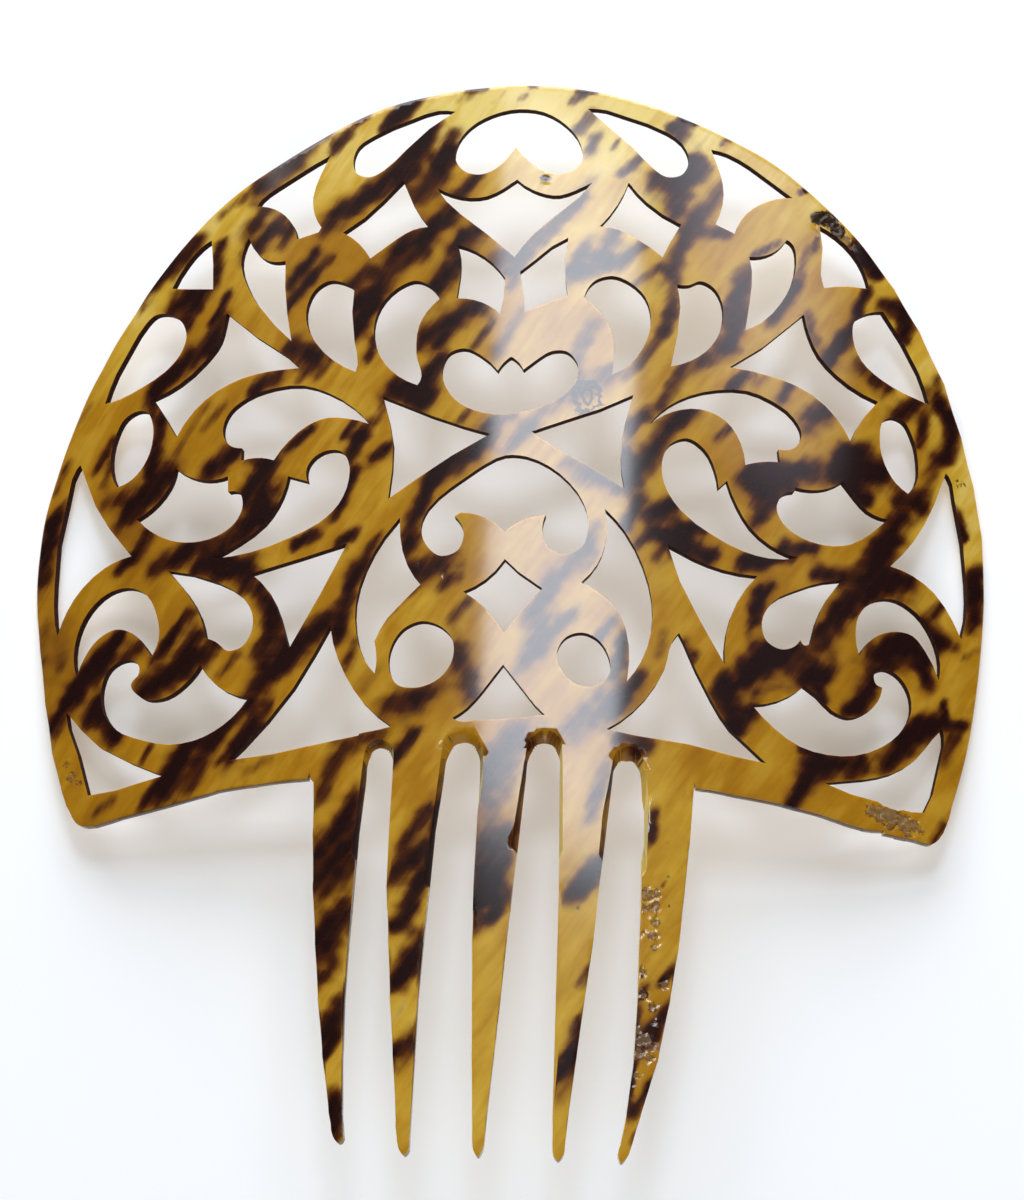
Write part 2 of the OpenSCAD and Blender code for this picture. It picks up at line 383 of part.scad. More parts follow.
module comb() {
    color("#b06a1a")
    translate([-set_down.x, -set_down.y, -lowest])
    rotate([-lie_tilt, 0, 0]) rotate([0, lie_roll, 0]) translate([0, 0, -bend_r])
    difference() {
        intersection() {
            bent_sheet();
            outline_wedge();
        }
        for (rows = openings) opening_cutter(rows);
        for (i = [0 : len(bevel_fronts) - 1]) bevel_cutter(bevel_fronts[i], bevel_backs[i]);
    }
}

comb();
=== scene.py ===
import math

import bmesh
import bpy
import numpy as np
from mathutils import Matrix, Vector, noise
from mathutils.geometry import delaunay_2d_cdt
from mathutils.kdtree import KDTree


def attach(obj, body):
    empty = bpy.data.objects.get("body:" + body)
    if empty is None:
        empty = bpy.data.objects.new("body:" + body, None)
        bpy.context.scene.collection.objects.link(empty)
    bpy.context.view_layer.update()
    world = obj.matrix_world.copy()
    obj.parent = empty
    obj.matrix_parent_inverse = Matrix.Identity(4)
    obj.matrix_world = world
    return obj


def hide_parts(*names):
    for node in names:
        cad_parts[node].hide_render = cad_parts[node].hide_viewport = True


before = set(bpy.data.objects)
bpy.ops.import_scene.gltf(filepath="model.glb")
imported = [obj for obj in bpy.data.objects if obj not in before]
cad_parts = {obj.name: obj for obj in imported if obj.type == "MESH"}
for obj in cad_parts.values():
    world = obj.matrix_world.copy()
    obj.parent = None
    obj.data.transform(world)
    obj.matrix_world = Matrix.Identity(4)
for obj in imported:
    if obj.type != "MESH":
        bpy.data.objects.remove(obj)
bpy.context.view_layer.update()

# How the comb lies. Flat millimetres are those of the sheet before its bend: u across from the
# middle line, v up from the shoulders, w down into the sheet.
lie = {
    "bendRadius": 200.0,
    "sheet": 1.5,            # thickness
    "tilt": 1.0,             # degrees that the heading tips down
    "roll": 0.25,            # degrees that the right side does
    "setDown": (-0.870259, 33.9692, -21.7397),
}

combLook = {
    "cell": 0.9,             # size of the skin's triangles, in mm
    "fineCell": 0.32,        # and where the plastic is damaged
    "fineFrom": 0.12,        # damage from which they are fine
    "rimRound": 0.34,        # rounding of the outer rim; the sawn openings are left sharp
    "rimStep": 1.0,          # longest straight piece of the heading's rim, which is evened
    "rimFrom": 3.0,          # above this height
    "rimShare": 0.7,         # and how strongly, in each round
    "archStep": 0.45,        # the same for the tops of the slots
    "archFrom": -3.5,
    "archTo": 9.6,
    "archSide": 30.0,
    "archShare": 0.22,
    "archCentres": [(-20.7, 3.8), (-6.0, 4.4), (8.2, 4.5), (22.6, 2.6)],
    "archReach": 5.5,
    "archFuller": 0.35,      # how much rounder than the CAD's the arches are at 45 degrees
    "evenRounds": 24,
    "keptTurn": 34,          # a sharper turn is a corner, and stays
    "run": 57.0,             # direction in which the shell's colours are drawn out
    "drawn": 1.7,            # and how far
    "streakWaver": 0.4,
    "streakSoft": 1.1,
    "toneReach": 0.75,
    "tonePull": 3,           # of a tone row, against the plain amber's
    "plainPull": 0.08,
    "ground": [
        (0.0, (0.145, 0.047, 0.001, 1)),
        (0.25, (0.26, 0.105, 0.002, 1)),
        (0.5, (0.39, 0.183, 0.005, 1)),
        (0.75, (0.57, 0.352, 0.032, 1)),
        (1.0, (0.75, 0.59, 0.18, 1)),
    ],
    "deep": (0.195, 0.073, 0.004, 1),
    "brown": (0.075, 0.016, 0.001, 1),
    "dark": (0.012, 0.0015, 0.0005, 1),
    # painted shade: the outer walls that face away from the light, and the dark of the sawn walls
    "wall": (0.010, 0.004, 0.006, 1),
    # painted highlight on the outer walls that face the light
    "fringe": (0.80, 0.66, 0.22, 1),
    "crust": (0.2, 0.125, 0.06, 1),
    "lampTint": (0.52, 0.46, 0.36, 1),
    "roughness": 0.28,
    "coat": 0.9,
    # Noises: drawn out how far and in which direction, then scale per cm, detail, roughness, twist
    "grains": {
        "feather": (6.0, "run", 6.5, 2.5, 0.5, 0.3),
        "plume": (4.0, "run", 2.4, 2.0, 0.5, 0.3),
        "broad": (1.0, 0.0, 1.1, 3.0, 0.55, 0.0),
        "mist": (1.0, 0.0, 7.0, 4.0, 0.6, 0.0),
        "spots": (1.0, 0.0, 26.0, 3.0, 0.6, 0.0),
        "crumb": (1.0, 0.0, 15.0, 3.0, 0.6, 0.6),
        "smear": (3.0, 20.0, 3.0, 4.0, 0.6, 0.0),
        "sawn": (1.0, 0.0, 30.0, 3.0, 0.6, 0.0),
    },
}

# Small measures of the making, in mm
workings = {
    "onSkin": 0.004,         # a point this close to a skin's level is on it
    "alongLevel": 0.05,      # an edge runs along a level if its ends differ by less
    "shortest": 0.02,        # shorter edges aren't divided
    "apart": 1e-4,           # closer points count as one
    "outlineWidth": 150,     # only the outer outline is wider
    "dotStep": 0.25,         # spacing of the points in a search tree
    "cellGap": 0.45,         # share of a cell that stays free along an edge
    "slotSide": 26.5,        # where the slots are left without a rounding: half width, bottom, top
    "slotFrom": -26,
    "slotTo": 9.6,
    "roundShare": 0.4,       # of the shortest edge beside it, which the rounding may take
    "trials": 6,             # of the rim's rounding
    "foldTurn": 130,         # degrees from which an edge counts as folded
    "foldStep": 0.3,         # how closely the edges are searched for folds
    "foldReach": 0.8,
    "frontFrom": 0.6,        # height in the sheet, as a share, from which a point is the front's
    "steepFrom": 0.75,       # upright part of the normal from which a face begins to be a wall
    "steepOver": 0.3,
    "outlineReach": 0.9,     # walls this close to the outline are outer ones
    "filedSlope": (0.1, 0.96),
    "filedDepth": (0.06, 1.3),
    "filedSide": 30,         # the filed faces lie within this half width, and these heights
    "filedHeight": (-24, 8),
}

# Dark streaks: from u, v to u, v, half width, darkness
streakRows = [
    # Crest and upper left wing
    (-49.5, 117.2, -41, 123.2, 2.0, .9), (-39.5, 125.8, -36, 127.5, 1.0, .85),
    (-35, 124.5, -28.2, 131.2, 1.0, .8), (-56, 112.8, -51.5, 116.5, .9, .45),
    (-49.8, 109.5, -46.5, 113.5, 1.6, .8), (-49.5, 104.5, -44.8, 109.3, 1.8, .9),
    (-43.5, 105.2, -41.3, 110.3, .9, .7), (-70, 100.2, -61, 107.8, 1.9, .85),
    (-57, 101, -56, 107.5, 1.1, .8), (-65, 95, -58, 98.5, 2.2, .95),
    (-62.5, 90.5, -60, 95.5, 1.6, .9), (-71.5, 95.5, -70.5, 98.5, .6, .3),
    (-56.5, 91, -53.8, 96.5, .9, .85), (-23.5, 129.5, -18.5, 134.8, 1.7, .9),
    (-25, 128, -21, 130.5, 1.2, .7), (-11, 132.8, -9.5, 134.3, 1.0, .45),
    (-10, 135.2, -6, 135.8, .6, .85), (-4.5, 132.3, -3, 134.5, .5, .3),
    (-21, 119, -16.5, 126, 2.3, .95), (-21.5, 117, -19, 121, 1.8, .95),
    (-18.5, 113, -14.5, 118, 2.4, .65), (-14, 121, -11.8, 126, 1.2, .75),
    (-14.5, 119, -12, 121.5, 1.3, .6), (-14.8, 114, -13, 118.5, 1.2, .5),
    (-10.5, 113.5, -7, 117, 1.3, .75), (-34, 110.5, -24.5, 115.5, 1.7, .9),
    (-28, 114, -21.5, 119.5, 1.6, .6), (-36, 108, -32, 109.8, 1.6, .6),
    (-35.5, 122, -31, 127, .6, .35), (-22, 101.5, -10.5, 110.5, 2.4, .92),
    (-10.5, 103.5, -6, 106.8, 1.5, .85), (-4.5, 98, .5, 101.5, 2.0, .8),
    (-14.5, 94, -10.2, 100, 2.2, .9), (-21.5, 99, -16, 102.5, 1.3, .8),
    (-31, 94.5, -26.5, 98.8, 1.5, .8), (-31, 90, -24, 95.8, 1.9, .92),
    (-41.5, 97.5, -37, 102.8, 1.2, .9), (-43, 91, -37.5, 98, 1.3, .8),
    (-37.5, 97.8, -33.5, 102, 1.0, .7), (1.8, 135.8, 3.3, 135.8, .35, .85),
    (0, 132.8, 1.3, 133.8, .6, .5),
    # Upper right wing
    (9.8, 132.5, 11.5, 134.2, .9, .75), (10.5, 135, 14.8, 134.9, .45, .85),
    (11, 126.5, 13.5, 129.8, 1.2, .75), (13.5, 122.5, 14.3, 125, 1.1, .65),
    (17.8, 123, 18.6, 125, .5, .5), (19.5, 118, 22.5, 121.3, 1.0, .8),
    (29.5, 125, 31, 130.3, 1.3, .85), (30, 130.7, 33, 129.3, .5, .9),
    (27.5, 128.5, 30, 127.5, .8, .7), (37.8, 125.4, 39.3, 126.3, .7, .65),
    (25, 117.8, 33.5, 118, 1.7, .85), (29.5, 110.8, 31.5, 120, 1.9, .9),
    (31.5, 120.5, 34, 119, 1.4, .85), (32.5, 106.5, 38, 116.5, 1.8, .65),
    (35.5, 107, 39.7, 107.3, 1.1, .8), (28.5, 98, 33, 110, 1.6, .8),
    (16.3, 101.5, 18.5, 106.5, 1.6, .8), (20, 100.5, 24.5, 104.3, 1.1, .75),
    (10.5, 97, 12.5, 101.5, 1.9, .75), (12, 97.8, 20, 100, 1.3, .75),
    (.5, 101, 12.5, 113, 1.8, .75), (-.5, 94, .8, 99.5, 1.2, .6), (22, 95.5, 27, 99.5, .9, .6),
    (28.5, 90, 30, 98, 1.0, .5), (40, 90, 42.5, 99, 1.9, .92), (43.5, 103, 49, 106.5, .7, .75),
    (52.3, 117, 54.2, 118, .6, .85), (47.5, 90.5, 52.3, 98.5, 1.4, .85),
    (55.3, 105.5, 56, 110, .6, .6), (52.3, 100, 54, 107, .8, .45),
    (62.5, 108.8, 68.3, 101.8, 1.0, .92), (63.3, 107, 66.5, 103.5, 1.2, .92),
    (63.3, 94.5, 65.5, 98.8, 1.0, .92), (68.5, 96.5, 73, 96.5, 1.4, .95),
    (72.5, 90, 73, 96, 1.6, .95), (62.5, 90, 64, 93.8, .7, .7),
    # Left wing, middle
    (-84.5, 73.5, -81, 78, .8, .35), (-87.3, 61, -85.3, 66.5, .9, .7),
    (-89.3, 43.5, -87.2, 56, 2.2, 1), (-78.5, 65, -76, 69.5, 1.2, .85),
    (-76.8, 61, -75, 66, 1.1, .6), (-67.5, 62, -65.3, 73.5, 1.5, .92),
    (-67.8, 73, -67.3, 78, 1.0, .7), (-70.5, 55, -63, 61.5, 2.6, .93),
    (-77, 57, -72, 58.5, 1.4, .55), (-74, 49, -71, 55, 2.0, .4), (-69.5, 45, -66.5, 50.5, 1.6, .8),
    (-68, 78.5, -56, 87, 2.2, .9), (-56.5, 85, -54.2, 92, 1.1, .8),
    (-57.5, 69, -52.5, 74.5, .8, .6), (-62.5, 65, -56.5, 75, .9, .5),
    (-55.5, 60.5, -49.8, 65, 1.9, .97), (-48.5, 54.5, -44, 61.5, 1.9, .95),
    (-48, 62.5, -44, 63.2, 1.0, .6), (-52, 45.5, -44, 52, 1.7, .85), (-61, 44.5, -53, 48, 1.4, .65),
    (-47.5, 76, -42.5, 79.3, 1.6, .8), (-41, 84, -35.5, 81.5, 1.9, .95), (-39, 77, -36, 82, .7, .6),
    (-35.5, 77.5, -32.5, 82, .8, .65), (-29.5, 86, -25, 92.5, 2.0, .95),
    (-26.2, 80.5, -24.8, 85, 1.0, .85), (-16.5, 84, -5, 91.5, 2.0, .95),
    (-14, 82.5, -12, 84.5, .8, .7), (-6.8, 82.3, -3.2, 87.5, .8, .75), (-3, 81, 2, 90, 1.3, .6),
    (-17, 74.8, -12.5, 80, 1.6, .9), (-21.5, 75, -14.5, 72, 2.0, .97), (-9, 67, -7, 70, .7, .6),
    (-4.5, 66.3, 1.5, 69.5, 1.2, .65), (-13, 58, -3.5, 64, 2.2, .95),
    (-16, 50, -12.5, 58.5, 1.6, .93), (-18, 44.5, -15.5, 51, 1.3, .8),
    (-40, 64.3, -35.8, 67.5, 1.0, .9), (-28.8, 61, -26.2, 66, 1.3, .93),
    (-30, 65.5, -28, 68.3, .8, .85), (-27, 65, -23, 69.5, 1.0, .5),
    (-24.5, 60.8, -21.8, 63, 1.3, .9), (-31, 50, -27.5, 58.5, 1.3, .93),
    (-46, 49, -44.5, 60, 2.3, .95), (-43, 50.5, -41, 57, 1.0, .6), (-38.5, 45, -34.5, 47, .9, .85),
    (-30.5, 44.5, -27, 46.5, 1.0, .85),
    # Right of the middle line
    (10.5, 77.5, 15, 88, 1.8, .6), (13, 74, 19.5, 78.3, 2.0, .75), (2.5, 66, 12, 75.5, 1.7, .5),
    (0, 62, 4, 66, 1.3, .5), (22.5, 78.5, 28.5, 88, 1.1, .6), (27.5, 87, 29.5, 92, 1.1, .65),
    (27, 71.5, 31.5, 80, 1.4, .65), (39.5, 84, 41.3, 92, 1.7, .95), (34, 80.5, 39.5, 85, 1.6, .85),
    (40, 76, 42.5, 79, 1.2, .95), (44.5, 77, 46.5, 79.3, .7, .45), (29.5, 68, 33, 71, 1.9, .95),
    (37.5, 66, 40, 68.5, .9, .7), (21.3, 66.5, 24.5, 69.8, 1.3, .9), (22, 56.5, 27, 64, 2.2, .97),
    (21, 56, 21.3, 63, 1.0, .9), (10.5, 60, 20.5, 55.5, 1.7, .65),
    (21.5, 47.5, 23.5, 52.5, 1.3, .85), (25.5, 50.5, 30.5, 52.5, 1.5, .95),
    (28, 46.5, 36, 48.5, 1.5, .95), (23.5, 44.5, 27, 47.5, 1.0, .85), (14, 43.5, 16.3, 48, 1.1, .6),
    (43.8, 60.5, 48, 57, 1.8, .97), (45, 50, 47, 55, 1.3, .6),
    # Right wing, middle
    (54, 92.5, 55.5, 86.5, 1.0, .6), (57, 82, 61.5, 89.5, 1.8, .93), (63.5, 84, 70, 80, 1.5, .75),
    (71.5, 75, 76, 78.5, 2.0, .95), (75.5, 69, 76.5, 75, 1.0, .8), (79, 79, 82.3, 75, 1.2, .92),
    (81, 67.5, 82.5, 74, 1.4, .95), (79, 80, 79.5, 84, .8, .5), (76, 60, 79.5, 67.5, 1.6, .65),
    (71.5, 59, 76.5, 57, 1.6, .92), (58.5, 61.5, 69, 63, 2.2, 1), (60, 65.5, 64.5, 66, 1.4, .97),
    (61.5, 60, 65.5, 56.5, 1.4, .95), (46, 60, 56.5, 61.5, 1.4, .95), (44, 59, 51, 57.5, 2.2, .97),
    (45, 51, 48, 55.5, 1.3, .9), (49.5, 75, 51.5, 79, 1.1, .8), (55, 71.5, 59, 75, 2.2, .8),
    (67, 47, 72, 55, 2.0, .97), (66, 44, 69.5, 49, 1.8, .95), (49.5, 45.5, 56, 46.5, 1.1, .9),
    (83, 57.5, 84.5, 52, .8, .85), (86, 44.5, 88, 46.3, .9, .95),
    # Lower left wing
    (-88, 24, -87.3, 35, 1.5, .5), (-83.5, 26, -84, 33, 1.8, .42), (-84.5, 14, -79, 22.5, 2.2, .85),
    (-79.5, 20.5, -74.5, 27, 2.2, .92), (-75.5, 25, -71, 31, 1.6, .93),
    (-69.5, 26.5, -66, 29.5, 1.8, .85), (-66.5, 19, -57, 23.5, 2.4, .97),
    (-60.5, 22.5, -56, 28.5, 1.8, .8), (-64.5, 24.5, -60.5, 30.5, .8, .55),
    (-62, 27, -57.5, 34, 1.2, .88), (-56.5, 23.5, -51, 28, 1.8, .95),
    (-51, 20.5, -48, 24.5, 1.0, .55), (-65.5, 43, -58, 46, 1.7, .8),
    (-72.5, 43.5, -69, 46.5, 1.0, .75), (-55.5, 42.5, -46.5, 40.5, 1.9, .95),
    (-57, 41, -55.5, 45, .9, .6), (-48, 36.5, -45.5, 39.5, 1.0, .75),
    (-75.5, 17.5, -70, 11.5, 2.0, .93), (-77, 15, -74.5, 19, 1.2, .7),
    (-65, 5.5, -63.7, 8.8, .7, .65), (-60.5, -.5, -56, 9, 2.2, .95),
    (-55.5, -.5, -51, 11, 1.8, .75), (-52, 9.5, -44.5, 15.5, 2.0, .85),
    (-48.5, 5, -43.5, 10, 1.6, .9), (-64, -2.5, -60.5, 2, 1.4, .85), (-74, -3, -70.5, -1, 1.1, .65),
    (-44.5, 37.5, -41, 31, 1.4, .85), (-43, 25, -40, 31, 1.8, .85), (-43.5, 18, -38, 26, 2.2, .97),
    (-39, 22.5, -31.5, 29.5, 2.2, .97), (-29.5, 26, -26.5, 40, 1.7, .85),
    (-26, 39, -22.5, 46, 1.1, .8), (-28, 20, -26, 26, 1.0, .6), (-21.5, 29.5, -15.5, 36.5, .9, .7),
    (-17, 37.5, -10.5, 40.5, 2.3, .97), (-18.5, 41, -16.5, 44.5, 1.2, .85),
    (-10.5, 36, -8, 37.5, 1.2, .8), (-9, 29.5, -6, 33, 1.1, .6), (-8.5, 24.5, -4, 15, 1.8, .75),
    (-20, 13, -12, 15.5, 2.2, .85), (-18.5, 3, -14.5, 8.5, 1.3, .9), (-25, 6.5, -20, 8.5, 1.2, .8),
    (-31.5, -3.5, -27, 6.5, 1.8, .7), (-47, 8, -41.5, 14, 1.3, .8), (-45, 2, -40, 4.5, 1.0, .4),
    (-38, 44.5, -33, 46.5, .9, .7), (-25, 16, -22, 20, 1.4, .35),
    # Lower middle and lower right wing
    (-2.5, -2, 3, 7.5, 3.0, .93), (8, 37, 14.5, 42, 2.2, .75), (7, 23, 6.5, 33, 2.2, .7),
    (10, 28, 12.5, 30, 1.4, .6), (3, 19, 6, 23.5, 1.5, .55), (17, 26, 19.5, 29.5, 1.2, .75),
    (20.5, 20.5, 21.5, 26.5, 1.3, .9), (13, 9, 20.5, 15.5, 2.8, .75),
    (21, 13.5, 24, 18.5, 1.6, .75), (21, 8, 26.5, 6.5, 1.4, .85), (16.5, -8, 18.5, 3, 1.5, .6),
    (27.5, 23.5, 28.5, 28, .9, .35), (32, 26.5, 34, 23, .8, .7), (44.5, 31, 45.5, 37.5, 1.2, .97),
    (43, 21, 47, 26.5, 2.2, .97), (39, 19.5, 41.5, 11, 1.8, .97), (41.5, 10.5, 45, 14.5, 1.5, .95),
    (27, 42, 29, 46, 1.0, .6), (30.5, 45, 37, 42.5, 1.5, .95), (42.5, 42.5, 47, 43, 1.5, .9),
    (32.5, -3, 32.7, 0, .5, .3), (45.5, 34.5, 47.5, 38, 1.3, .95), (44, 43, 52, 44, .8, .85),
    (55.5, 41.5, 61, 41.5, 1.2, .85), (61, 35, 66, 42, 2.2, .97), (66.5, 41.5, 73.5, 42, 2.6, .97),
    (75.5, 34.5, 79.5, 30.5, 1.4, .93), (80, 32, 82.5, 31, 1.0, .7), (78.5, 36.5, 80, 39, .8, .75),
    (86, 36, 86.5, 46, 1.8, .97), (84, 29, 87, 31.5, .7, .4), (67, 28, 72, 29, 2.8, 1),
    (72, 31.5, 76, 28.5, 1.6, .97), (75.5, 28, 77.5, 22.5, 1.3, .93), (64, 17.5, 67.5, 24, 2.0, 1),
    (61, 16, 64.5, 17.5, 1.0, .9), (56.5, 29, 60, 35, 1.5, .93), (55, 25, 59, 30, 1.6, .6),
    (44, 23, 53.5, 25.5, 2.4, .95), (53.5, 21.5, 58, 22.5, 1.8, .97),
    (56, 20.5, 57.5, 16.5, .9, .95), (45, 17.5, 50, 19.5, .7, .5), (74.5, 16, 84, 16, 1.1, .95),
    (80, 20.5, 80.5, 16.5, .6, .9), (72, 12, 77, 15, 1.8, .95), (69.5, 7.5, 74, 12.5, 1.9, .95),
    (80, 9, 81.5, 13.5, 1.5, .65), (55.5, 5.5, 64, 6.5, 2.2, .97), (51.5, -3, 55.5, 5, 1.7, .95),
    (53, 8.5, 56, 8, .9, .8), (78, -6, 80, -2.5, .8, .8),
    # Tines, from left to right
    (-27.5, -9, -25, -3.5, 1.4, .93), (-31.5, -13, -25.5, -8.5, 2.4, .9),
    (-31, -18, -25.5, -13, 2.2, .75), (-30, -29, -25.5, -24, 2.4, .97),
    (-30.5, -21, -25.5, -17, 2.2, .62), (-30, -32, -26, -30.5, 1.2, .45),
    (-31, -38, -27, -34, 1.5, .9), (-29, -47, -25.5, -41, 1.9, 1),
    (-28.5, -50, -26.5, -46, 1.3, .97), (-26.5, -60, -25.3, -64.5, 1.6, .95),
    (-26.3, -57, -25, -60, 1.3, .75), (-16, -13, -11, -5, 1.5, .88),
    (-17.5, -17.5, -12, -13, 2.0, .85), (-15, -26, -12, -18, 1.8, .97),
    (-17, -27.5, -14.5, -23.5, 1.0, .85), (-15.5, -36, -12, -29.5, 1.7, .95),
    (-17, -37.5, -12.5, -34.5, 1.3, .93), (-16.5, -50, -12.5, -47, 1.3, .85),
    (-15.5, -53, -12.8, -50.5, 1.2, .45), (-2.5, -14, 1, -3, 1.6, .6),
    (-2.2, -23, -.5, -13, 2.2, .98), (0, -22, 2, -10, 1.8, .97), (-3, -28, 0, -25, 1.2, .7),
    (0, -26, 2.5, -21.5, 1.2, .7), (14, -20.5, 18.5, -15.5, 2.0, .92), (15.3, -37, 17, -34, .8, .7),
    (13.8, -50, 15.8, -43, 1.1, .8), (12, -52.5, 15, -50.5, 1.7, .92),
    (12.5, -57, 14, -54.5, 1.2, .4), (27, -11, 27.6, -5.5, 1.0, .85),
    (29.1, -18.9, 29.5, -18.5, .4, .5), (29.5, -36, 31.3, -34, .9, .75),
    (25.6, -39, 26.5, -37, .8, .75), (28.3, -44.5, 30.3, -41, 1.3, .97),
    (25.2, -46, 25.5, -41.5, .6, .8), (25.5, -47.5, 28, -45.5, 1.6, .85),
    (24.2, -60, 24.9, -50, .5, .85), (24.5, -60, 28, -54, 1.0, .97),
    (24.7, -64.8, 25.2, -63, .5, .5),
]

# Tone of the ground, and a painted glow: u, v, reach, tone from 0, deep brown, over 0.5, amber, to 1,
# pale yellow
# The pale rows along the heading's upper and right rim are a painted glow of light through the sheet;
# the rest give the shell's own tone
toneAndGlowRows = [
    (-66, 105, 16, .82), (-32, 129, 12, .88), (-3, 133, 14, 1), (25, 131, 14, .97),
    (50, 120, 10, .88), (70, 103, 8, .78), (80, 82, 9, .76), (86, 60, 10, .78), (-80, 88, 12, .62),
    (-85, 70, 9, .5), (-37, 118, 8, .72), (-36, 104, 9, .42), (-15, 110, 9, .5), (-3, 119, 8, .66),
    (20, 108, 12, .68), (45, 110, 12, .66), (58, 98, 10, .56), (-56, 98, 9, .52), (-60, 88, 9, .34),
    (-47, 85, 9, .5), (-58, 70, 9, .46), (-76, 76, 7, .52), (-75, 52, 9, .34), (-86, 38, 8, .34),
    (-84, 25, 7, .3), (-60, 38, 8, .42), (-73, 30, 6, .4), (-50, 20, 6, .5), (-63, 14, 7, .5),
    (-75, 2, 7, .44), (-48, 2, 8, .5), (-38, 36, 7, .52), (-30, 76, 8, .56), (-37, 68, 8, .5),
    (-24, 54, 8, .54), (-17, 30, 8, .58), (-13, 20, 6, .5), (-14, 82, 7, .58), (-15, 68, 7, .58),
    (-28, 10, 7, .5), (20, 60, 8, .6), (30, 76, 8, .62), (36, 92, 8, .62), (50, 88, 8, .54),
    (56, 68, 9, .52), (74, 68, 7, .5), (42, 66, 7, .5), (48, 48, 8, .46), (27, 38, 8, .52),
    (33, 30, 7, .5), (60, 22, 6, .42), (78, 40, 6, .56), (83, 24, 8, .54), (60, 0, 9, .48),
    (45, 4, 9, .48), (82, 6, 6, .52), (73, 40, 5, .56), (-27, -15, 8, .58), (-27, -45, 9, .66),
    (-15, -20, 8, .64), (-15, -45, 14, .66), (0, -45, 16, .66), (13, -30, 10, .66),
    (13, -60, 8, .64), (29, -10, 10, .62), (29, -28, 8, .56), (27, -45, 7, .5), (24, -62, 6, .6),
    (52, 30, 6, .34),
]

# Damaged places: u, v, reach, how rough, how deep in mm
wearRows = [
    (26.6, -20.6, 1.5, .9, .3), (28.2, -20.2, 1.1, .7, .2), (27.9, -22.6, 1.1, .9, .3),
    (26.1, -23.2, 1.2, .8, .2), (28.1, -25.6, 1.1, .8, .3), (27.7, -28.0, 1.1, .9, .3),
    (28.0, -30.2, 1.0, .7, .26), (26.0, -27.5, .9, .5, .16), (30.5, -22.5, .8, .4, .1),
    (30.2, -26.5, .9, .35, .1), (26.1, -34.3, .9, .6, .16), (29.9, -36.6, 1.1, .8, .24),
    (26.4, -38.6, 1.1, .7, .16), (27.9, -40.6, 1.0, .7, .18), (28.6, -43.6, 1.1, .6, .16),
    (25.3, -44.9, 1.2, .9, .26), (26.6, -46.9, 1.8, 1, .28), (28.6, -47.6, 1.3, .8, .22),
    (25.6, -49.0, 1.5, .9, .22), (27.6, -49.6, 1.2, .7, .18), (25.4, -52.6, 1.0, .6, .16),
    (25.1, -55.0, .8, .5, .12), (57.0, 112.6, 1.5, 1, .3), (58.7, 111.3, 1.5, 1, .3),
    (55.6, 111.6, 1.1, .8, .2), (61.2, 108.6, 1.5, .8, .2), (62.0, 107.2, 1.1, .6, .16),
    (66.3, -1.9, 1.6, .8, .2), (68.2, -2.4, 1.9, 1, .26), (70.2, -2.6, 2.0, 1, .3),
    (72.2, -3.2, 1.9, 1, .26), (74.2, -3.6, 1.6, .8, .24), (70.0, -.9, 1.5, .9, .2),
    (69.5, -4.4, 1.4, .6, .2), (73.0, -5.0, 1.4, .7, .2), (75.6, -4.6, 1.0, .6, .2),
    (-79.2, 4.6, 1.8, .55, .12), (-77.6, 3.4, 1.2, .5, .1), (-80.5, 7.2, 1.3, .5, .12),
    (5.2, 116.5, 1.3, .5, .04), (-15.3, 40, .7, .5, .06), (-10.7, 37.4, .7, .5, .06),
    (83.8, 63, .8, .5, .05), (85.5, 52.5, .7, .5, .06), (86, 33, .7, .5, .06),
    (-87, 41, 1.2, .35, .03), (14.2, 72.6, 3.4, .3, .004),
]

# Marks on the surface: u, v, half width, half height, line width or 0 for a filled one, strength
markRows = [
    (14.1, 72.6, 2.2, 3.0, .9, 1), (14.0, 72.9, .9, 1.5, .6, .8), (5.2, 116.5, 1.1, .9, 0, .6),
    (57.2, 112.4, 2.6, 1.5, 0, 1), (59.8, 110.3, 1.5, 1.5, 0, 1), (27.8, -24, .5, .7, .3, .5),
    (26.2, -34.4, .7, .9, .35, .6), (26.3, -38.5, .7, .9, .35, .6), (27.9, -40.6, .6, .9, .35, .6),
    (28.6, -43.4, .6, .6, .3, .6), (83.8, 63, .9, .9, .35, .6), (18.9, 48, .5, .3, 0, .6),
    (14.9, -23.8, .3, .3, 0, .7), (13.7, -52.8, .3, .3, 0, .6), (30.4, -17.2, .6, .5, 0, .45),
    (29.8, -11, .7, .6, 0, .35),
]


def rowFromComb():
    tilt = Matrix.Rotation(math.radians(-lie["tilt"]), 4, "X")
    roll = Matrix.Rotation(math.radians(lie["roll"]), 4, "Y")
    return Matrix.Translation(-Vector(lie["setDown"])) @ (tilt @ roll)


def flatten(points):
    # Metres in the frame to flat millimetres
    radius = lie["bendRadius"]
    turn = np.array(rowFromComb().inverted())
    mm = points * 1000.0
    p = mm @ turn[:3, :3].T + turn[:3, 3]
    rho = np.hypot(p[:, 0], p[:, 2] + radius)
    angle = np.arctan2(p[:, 0], p[:, 2] + radius)
    return np.column_stack((angle * radius, p[:, 1], radius - rho))


def bend(flat):
    # And back
    radius = lie["bendRadius"]
    turn = np.array(rowFromComb())
    rho = radius - flat[:, 2]
    angle = flat[:, 0] / radius
    p = np.column_stack((rho * np.sin(angle), flat[:, 1], rho * np.cos(angle) - radius))
    return (p @ turn[:3, :3].T + turn[:3, 3]) / 1000.0


def crossings(starts, ends, v):
    # Where the loops cross one level of v, from left to right
    over = (starts[:, 1] > v) != (ends[:, 1] > v)
    a, b = starts[over], ends[over]
    return np.sort(a[:, 0] + (v - a[:, 1]) * (b[:, 0] - a[:, 0]) / (b[:, 1] - a[:, 1]))


